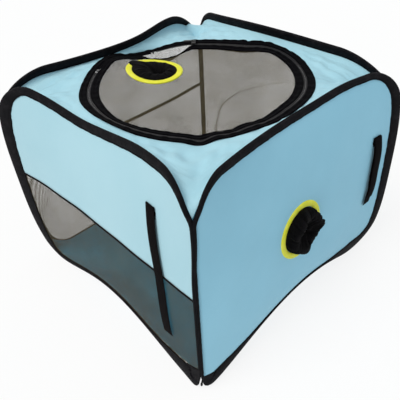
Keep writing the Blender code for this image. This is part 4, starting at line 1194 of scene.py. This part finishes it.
# The slider: its two plates, each with rings that have a share of the outline and a height, the post
# between them and the crown on top.
PLATE_WIDTH = 0.0095
PLATE_LENGTH = 0.0110
PLATE_TURN = 0.0022
PLATE_RINGS = ((0.95, 0.00155), (1.0, 0.0018), (1.0, 0.0024), (0.93, 0.0027))
POST_RADIUS = 0.0006
POST_ALONG = 0.0042
POST_HALF = 0.0020
CROWN_RADIUS = 0.0005
CROWN_HALF_SPAN = 0.0034
CROWN_FOOT = 0.0024
CROWN_RISE = 0.0035

# The pull tab: its outline, its hole, and its section, from the outline (0) in to the hole (1) and up.
TAB_OUTLINE = (0.0068, -0.00065, 0.0240, 0.0012)
TAB_HOLE = (0.0034, 0.00065, 0.0052, 0.0010)
TAB_POINTS = 64
TAB_SECTION = ((0.0, 0.0036), (0.0, 0.0044), (0.08, 0.0046), (0.92, 0.0046),
               (1.0, 0.0044), (1.0, 0.0036), (0.92, 0.0034), (0.08, 0.0034))


def at_slider(points):
    """Points in the slider's own axes, out from the middle, along the zip and up, set at its place."""
    out, along, up = points[..., 0], points[..., 1], points[..., 2]
    cosine, sine = math.cos(math.radians(SLIDER_AZIMUTH)), math.sin(math.radians(SLIDER_AZIMUTH))
    out = SLIDER_RADIUS + out
    return np.stack([out * cosine - along * sine, out * sine + along * cosine, ZIP_HEIGHT + up], axis=-1)


def rounded_outline(width, low, high, turn, count):
    """A rectangle with rounded corners, as points round it: its width, its two ends and its turns."""
    angle = full_turn(count) + math.pi / count
    half, reach = width / 2, (high - low) / 2
    across = np.sign(np.cos(angle)) * (half - turn) + turn * np.cos(angle)
    along = (low + high) / 2 + np.sign(np.sin(angle)) * (reach - turn) + turn * np.sin(angle)
    return across, along


def make_slider():
    """The zip's slider, two plates with a post and a crown, and the flat pull tab under the crown."""
    forms = []
    across, along = rounded_outline(PLATE_WIDTH, -PLATE_LENGTH / 2, PLATE_LENGTH / 2, PLATE_TURN, 40)
    for side in (1, -1):
        rings = [np.stack([across * size, along * size, np.full_like(across, side * up)], axis=-1)
                 for size, up in PLATE_RINGS[::side]]
        forms.append(capped(at_slider(np.stack(rings))))
    post = np.array([(0.0, POST_ALONG, up) for up in (-POST_HALF, 0.0, POST_HALF)])
    forms.append(tube(at_slider(post), POST_RADIUS, 10))
    turn = np.linspace(0, math.pi, 21)
    arch = (0 * turn, CROWN_HALF_SPAN * np.cos(turn), CROWN_FOOT + CROWN_RISE * np.sin(turn))
    forms.append(tube(at_slider(np.stack(arch, axis=-1)), CROWN_RADIUS, 10))
    piece("slider_body", gather(forms), "slider", METAL, ["zip_slider"])
    outer = np.array(rounded_outline(*TAB_OUTLINE, TAB_POINTS))
    inner = np.array(rounded_outline(*TAB_HOLE, TAB_POINTS))
    rows = [np.vstack([outer * (1 - share) + inner * share, np.full(TAB_POINTS, up)]).T
            for share, up in TAB_SECTION]
    tab = hull(at_slider(np.stack(rows, axis=1)), closed=True)
    piece("pull_tab_plate", tab, "pull_tab", METAL, ["zip_pull_tab"])


# Top and floor

# The far left corner, where the top is stretched between two hoops: the turn of their bends, how steeply
# it dips between them, and how far from the corner it reaches. A tip fades in over a length up the hoop,
# from a little outside the wire to just past the depth of the tape, and rises by EDGE_LIFT.
BEND = 0.108
BEND_DIP = 3.6
BEND_REACH = 0.13
TIP_FADE = 0.06
TIP_OUTSIDE = 0.0030
EDGE_PAST_TAPE = 0.0015
EDGE_LIFT = 0.0020

# The top's creases and corner crumples: their sizes, and the half width of a corner tip in degrees.
CREASE = 0.0011
LONG_CREASE = 0.0015
TIP_FOLD = 0.0022
TIP_CRUMPLE = 0.0070
TIP_WIDTH = 16

# The floor's flat middle, and the least height that its waves leave it above the ground.
FLOOR_HALF = 0.205
FLOOR_HEIGHT = 0.0008
FLOOR_LEAST = 0.0006


def stretched_corner(points, share):
    """At the far left corner the top is stretched straight from one hoop's bend to the other's."""
    x, y, z = points[..., 0], points[..., 1], points[..., 2]
    off_left = np.clip(HOOP_HALF + x, 0.0005, None)
    off_back = np.clip(HOOP_HALF - y, 0.0005, None)
    along = off_left + off_back
    arc = HOOP_TOP - BEND + np.sqrt(np.clip(BEND ** 2 - np.clip(BEND - along, 0, None) ** 2, 0, None))
    between = 4 * off_left * off_back / along ** 2
    crest = arc - 0.001 - BEND_DIP * along ** 2 * between
    crest = crest - TOP_TAPE_DEPTH * smooth_step((along - 0.05) / 0.05)
    near = smooth_step((BEND_REACH - along) / 0.03) * smooth_step((0.995 - share) / 0.06)
    return z + near * np.maximum(crest - z, 0)


def top_edge(wall):
    """The sewn edge of the top along one wall, from one corner tip over the hoop to the other."""
    line, inward, _ = hoop_line(wall, 900)
    tip = HOOP_TOP - wall.nearer("tip", line[:, 0])
    keep = line[:, 1] > tip
    line, inward, tip = line[keep][::-1], inward[keep][::-1], tip[keep][::-1]
    past_tip = smooth_step((line[:, 1] - tip) / TIP_FADE)
    depth, _ = tape_size(wall, line, inward)
    deep = -TIP_OUTSIDE + (depth + EDGE_PAST_TAPE) * past_tip
    out = -RIM_RADIUS + EDGE_LIFT * past_tip
    places = wall.bowed(line[:, 0] + inward[:, 0] * deep, out, line[:, 1] + inward[:, 1] * deep)
    return spaced(places, 60)[0]


def make_top():
    """The blue top: from the four hoops and down into the corner tips, in to the round zip."""
    edge = np.concatenate([top_edge(wall) for wall in WALLS])
    bearing = np.degrees(np.unwrap(np.arctan2(edge[:, 1], edge[:, 0])))
    inner = zip_place(np.full(len(edge), TAPE_OUTER_EDGE - 0.004), bearing, -0.0004)
    rings = 26
    points = relaxed(ring_loft(inner, edge, rings), 60)
    for _ in range(10):
        around = (np.roll(points, 1, axis=1) + np.roll(points, -1, axis=1)) / 2
        points[1:-1] = (points[1:-1] + around[1:-1]) / 2
    share = np.linspace(0, 1, rings)[:, None]
    fade = np.sin(math.pi * share) ** 1.2
    angle = np.radians(bearing)
    tip_share = np.exp(-(((bearing % 90) - 45) / TIP_WIDTH) ** 2)
    creases = np.sin(angle * 64 + share * 5) * CREASE + np.sin(angle * 37 - share * 9) * LONG_CREASE
    folds = np.sin(share * 19 + angle * 8) * TIP_FOLD * tip_share
    crumple_and_sheen = np.abs(np.sin(share * 24 + angle * 15)) + 0.7 * np.abs(np.sin(share * 37 - angle * 24))
    points[..., 2] += fade * (creases + folds + (crumple_and_sheen - 0.8) * TIP_CRUMPLE * tip_share * share ** 2)
    points[..., 2] = stretched_corner(points, share)
    made = piece("top_cloth", net(points, close_columns=True), "back_wall", BLUE_LAID, ["top_panel"],
                 CLOTH_THICKNESS)


def floor_edge(wall):
    """The sewn edge of the floor along one wall."""
    along = np.linspace(-1, 1, 61)[:-1] * (HOOP_HALF - 0.005)
    low, _ = edges_at(wall, along, low_depth(wall, along) - 0.0015)
    return wall.bowed(along, -0.0026, low)


def make_floor_cloth():
    """The blue floor: sewn to the four hoops' bottom runs, and flat on the ground in its middle."""
    edge = np.concatenate([floor_edge(wall) for wall in WALLS])
    angle = np.arctan2(edge[:, 1], edge[:, 0])
    reach = FLOOR_HALF / np.maximum(np.abs(np.cos(angle)), np.abs(np.sin(angle))) ** 0.75
    inner = np.stack([reach * np.cos(angle), reach * np.sin(angle), np.full(len(edge), FLOOR_HEIGHT)], axis=1)
    rings = 22
    share = np.linspace(0, 1, rings)[:, None]
    ringed = ring_loft(inner, edge, rings)
    waves = 0.0018 * np.sin(angle * 23 + share * 4) + 0.0014 * np.sin(angle * 41)
    rise = (edge[:, 2] - FLOOR_HEIGHT) * (share ** 1.7) + np.sin(math.pi * share) * waves * 0.7
    ringed[..., 2] = np.maximum(FLOOR_HEIGHT + rise, FLOOR_LEAST)
    middle = inner * np.linspace(0, 1, 9)[1:-1][:, None, None]
    creases = np.abs(np.sin(middle[..., 0] * 31 + 1)) * np.abs(np.sin(middle[..., 1] * 27))
    middle[..., 2] = FLOOR_HEIGHT + 0.0012 * creases
    places, faces = net(np.concatenate([middle, ringed]), close_columns=True)
    hub = len(places)
    places = np.vstack([places, [[0.0, 0.0, 0.0010]]])
    columns = len(edge)
    faces += [[(column + 1) % columns, column, hub] for column in range(columns)]
    made = piece("floor_cloth", (places, faces), "back_wall", BLUE_SHADED_FLOOR, ["floor_panel"], CLOTH_THICKNESS)


# Corner seams: the radius of their tape, and how the front right one is fuller and set in at its foot.
SEAM_RADIUS = 0.0017
FOOT_LENGTH = 0.034
FOOT_SHIFT = 0.0032
FOOT_SWELL = 0.35


def make_corner_seams():
    """The stitched black tape that joins two walls' bindings down each corner."""
    corners = (
        ("front_right", FRONT, RIGHT, "right_wall", 0.40),
        ("back_right", RIGHT, BACK, "back_wall", 0.55),
        ("back_left", BACK, LEFT, "back_wall", 0.55),
        ("front_left", LEFT, FRONT, "left_wall", 0.55),
    )
    for name, wall, after, body, ends_at in corners:
        low = HOOP_BOTTOM + ends_at * max(wall.corners[0], after.corners[3])
        high = HOOP_TOP - max(wall.corners[1], after.corners[2])
        height = np.linspace(low, high, 90)
        path = wall.bowed(np.full_like(height, HOOP_HALF), 0.0, height)
        both = np.abs(path[:, :2]).mean(axis=1)
        path[:, :2] = both[:, None] * np.sign(path[:, :2])
        radius = SEAM_RADIUS * (1 + 0.12 * np.sin(np.arange(90) * 1.9))
        if name == "front_right":
            foot = 1 - smooth_step((height - low) / FOOT_LENGTH)
            path[:, :2] -= FOOT_SHIFT * foot[:, None]
            radius = radius * (1 + FOOT_SWELL * foot)
        piece(f"corner_tape_{name}", tube(path, radius, 8), body, BINDING, [f"corner_seam_{name}"])


# Straps

def strap_form(wall, top, lean, length, out, bow, kink):
    """A webbing strap down a wall: where its top is, how it leans, how long it is, and how it bows."""
    share = np.linspace(0, 1, 40)[:, None]
    across = np.array([-0.5, -0.46, 0.46, 0.5, 0.46, -0.46]) * STRAP_WIDTH
    skin = np.array([0.0, 0.5, 0.5, 0.0, -0.5, -0.5]) * STRAP_THICKNESS
    down = share * length
    sway = lean * down * (1 - down) + kink * smooth_step((share - 0.7) / 0.3)
    out = out + skin + bow * np.sin(math.pi * share) + 0.0012 * np.sin(share * 9)
    return capped(wall.on_face(top[0] + sway + across, out, top[1] - down))


def make_straps():
    """Each strap's sewn end and hanging tail; the right one hangs doubled.

    A layer has its length, how far it stands out, how far it bows and how far its end has swung.
    """
    front = (FRONT, FRONT_STRAP, STRAP_LEAN)
    right = (RIGHT, RIGHT_STRAP, 0.0)
    sewn = (STRAP_ANCHOR_LENGTH, 0.0014, 0.0, 0.0)
    layers = (
        ("sewn_end", front, sewn, "wall", "anchor"),
        ("hanging", front, (FRONT_STRAP_LENGTH - 0.006, 0.0030, 0.001, 0.0), "strap", "tail"),
        ("sewn_end", right, sewn, "wall", "anchor"),
        ("hanging", right, (RIGHT_STRAP_LENGTH, 0.0030, 0.003, -0.006), "strap", "tail"),
        ("second_layer", right, (RIGHT_STRAP_LENGTH * 0.92, 0.0046, 0.006, 0.0), "strap", "cover"),
    )
    for layer, (wall, top, lean), hang, body, part in layers:
        piece(f"{wall.name}_strap_{layer}", strap_form(wall, top, lean, *hang), f"{wall.name}_{body}",
              WEBBING, [f"{wall.name}_strap_{part}"])


# Own meshes


def fold_pieces():
    """Gives each piece its own copy of its mesh."""
    gathered = ("zip_", "top_cloth", "floor_cloth", "lid_hinge")
    for name, (made, body) in pieces.items():
        if body in ("lid", "slider", "pull_tab") or name.startswith(gathered):
            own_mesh(made)
        else:
            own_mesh(made)


# Room

def make_camera():
    """The photograph's camera."""
    azimuth = math.radians(CAMERA_AZIMUTH)
    elevation = math.radians(CAMERA_ELEVATION)
    roll = math.radians(CAMERA_ROLL)
    level = math.cos(elevation)
    back = Vector((math.sin(azimuth) * level, -math.cos(azimuth) * level, math.sin(elevation)))
    right = Vector((math.cos(azimuth), math.sin(azimuth), 0.0))
    up = back.cross(right)
    tilted_right = right * math.cos(roll) + up * math.sin(roll)
    tilted_up = up * math.cos(roll) - right * math.sin(roll)
    data = bpy.data.cameras.new("photo_camera")
    data.lens = CAMERA_LENS
    data.sensor_width = CAMERA_SENSOR
    camera = bpy.data.objects.new("photo_camera", data)
    turn = Matrix((tilted_right, tilted_up, back)).transposed().to_4x4()
    camera.matrix_world = Matrix.Translation(Vector(CAMERA_AIM) + back * CAMERA_DISTANCE) @ turn
    bpy.context.scene.collection.objects.link(camera)
    bpy.context.scene.camera = camera


def eye_sees(finish):
    """1 where the camera looks, straight on or by a reflection or through glass."""
    camera, glossy, through = (finish.node("LightPath", {}, {}, out=f"Is {kind} Ray")
                               for kind in ("Camera", "Glossy", "Transmission"))
    return camera.sum("MAXIMUM", camera.sum("MAXIMUM", camera, glossy), through)


def make_stage():
    """A pale floor under the box."""
    finish = Finish("pale_floor")
    pale = finish.node("BsdfPrincipled", {}, {
        "Base Color": finish.blend(finish.noise(3.0, 2.0), srgb(246, 246, 246), srgb(250, 250, 250)),
        "Roughness": 0.9,
        "Specular IOR Level": 0.0,
    })
    glow = finish.node("Emission", {}, {"Color": WHITE})
    seen = eye_sees(finish) * FLOOR_GLOW
    finish.end("OutputMaterial", finish.node("MixShader", {}, {0: seen, 1: pale, 2: glow}))
    mesh = bpy.data.meshes.new("studio_floor")
    corners = [(x * FLOOR_REACH, y * FLOOR_REACH, 0) for x, y in ((-1, -1), (1, -1), (1, 1), (-1, 1))]
    mesh.from_pydata(corners, [], [(0, 1, 2, 3)])
    mesh.materials.append(finish.material)
    floor = bpy.data.objects.new("studio_floor", mesh)
    floor.location.z = -FLOOR_DROP
    bpy.context.scene.collection.objects.link(floor)


def make_light():
    """A soft key lamp and a soft even room."""
    lamp = bpy.data.lights.new("soft_key", "SUN")
    lamp.energy = KEY_STRENGTH
    lamp.color = KEY_COLOUR
    lamp.angle = math.radians(KEY_SOFTNESS)
    key = bpy.data.objects.new("soft_key", lamp)
    key.rotation_euler = Vector(KEY_FROM).to_track_quat("Z", "Y").to_euler()
    bpy.context.scene.collection.objects.link(key)

    world = bpy.data.worlds.new("soft_room")
    bpy.context.scene.world = world
    sky = Finish("soft_room", world)
    white = sky.node("Background", {}, {"Color": WHITE})
    soft = sky.node("Background", {}, {"Color": ROOM_COLOUR, "Strength": ROOM_STRENGTH})
    sky.end("OutputWorld", sky.node("MixShader", {}, {0: eye_sees(sky), 1: soft, 2: white}))
    bpy.context.scene.view_settings.view_transform = "Standard"


make_camera()
for wall in WALLS:
    make_binding(wall)
    make_stitches(wall)
    make_wire(wall)
make_wall_panels()
make_right_panel()
make_dryer_port()
make_zip()
make_lid_mesh()
make_lid_port()
make_slider()
make_top()
make_floor_cloth()
make_corner_seams()
make_straps()
fold_pieces()
make_stage()
make_light()
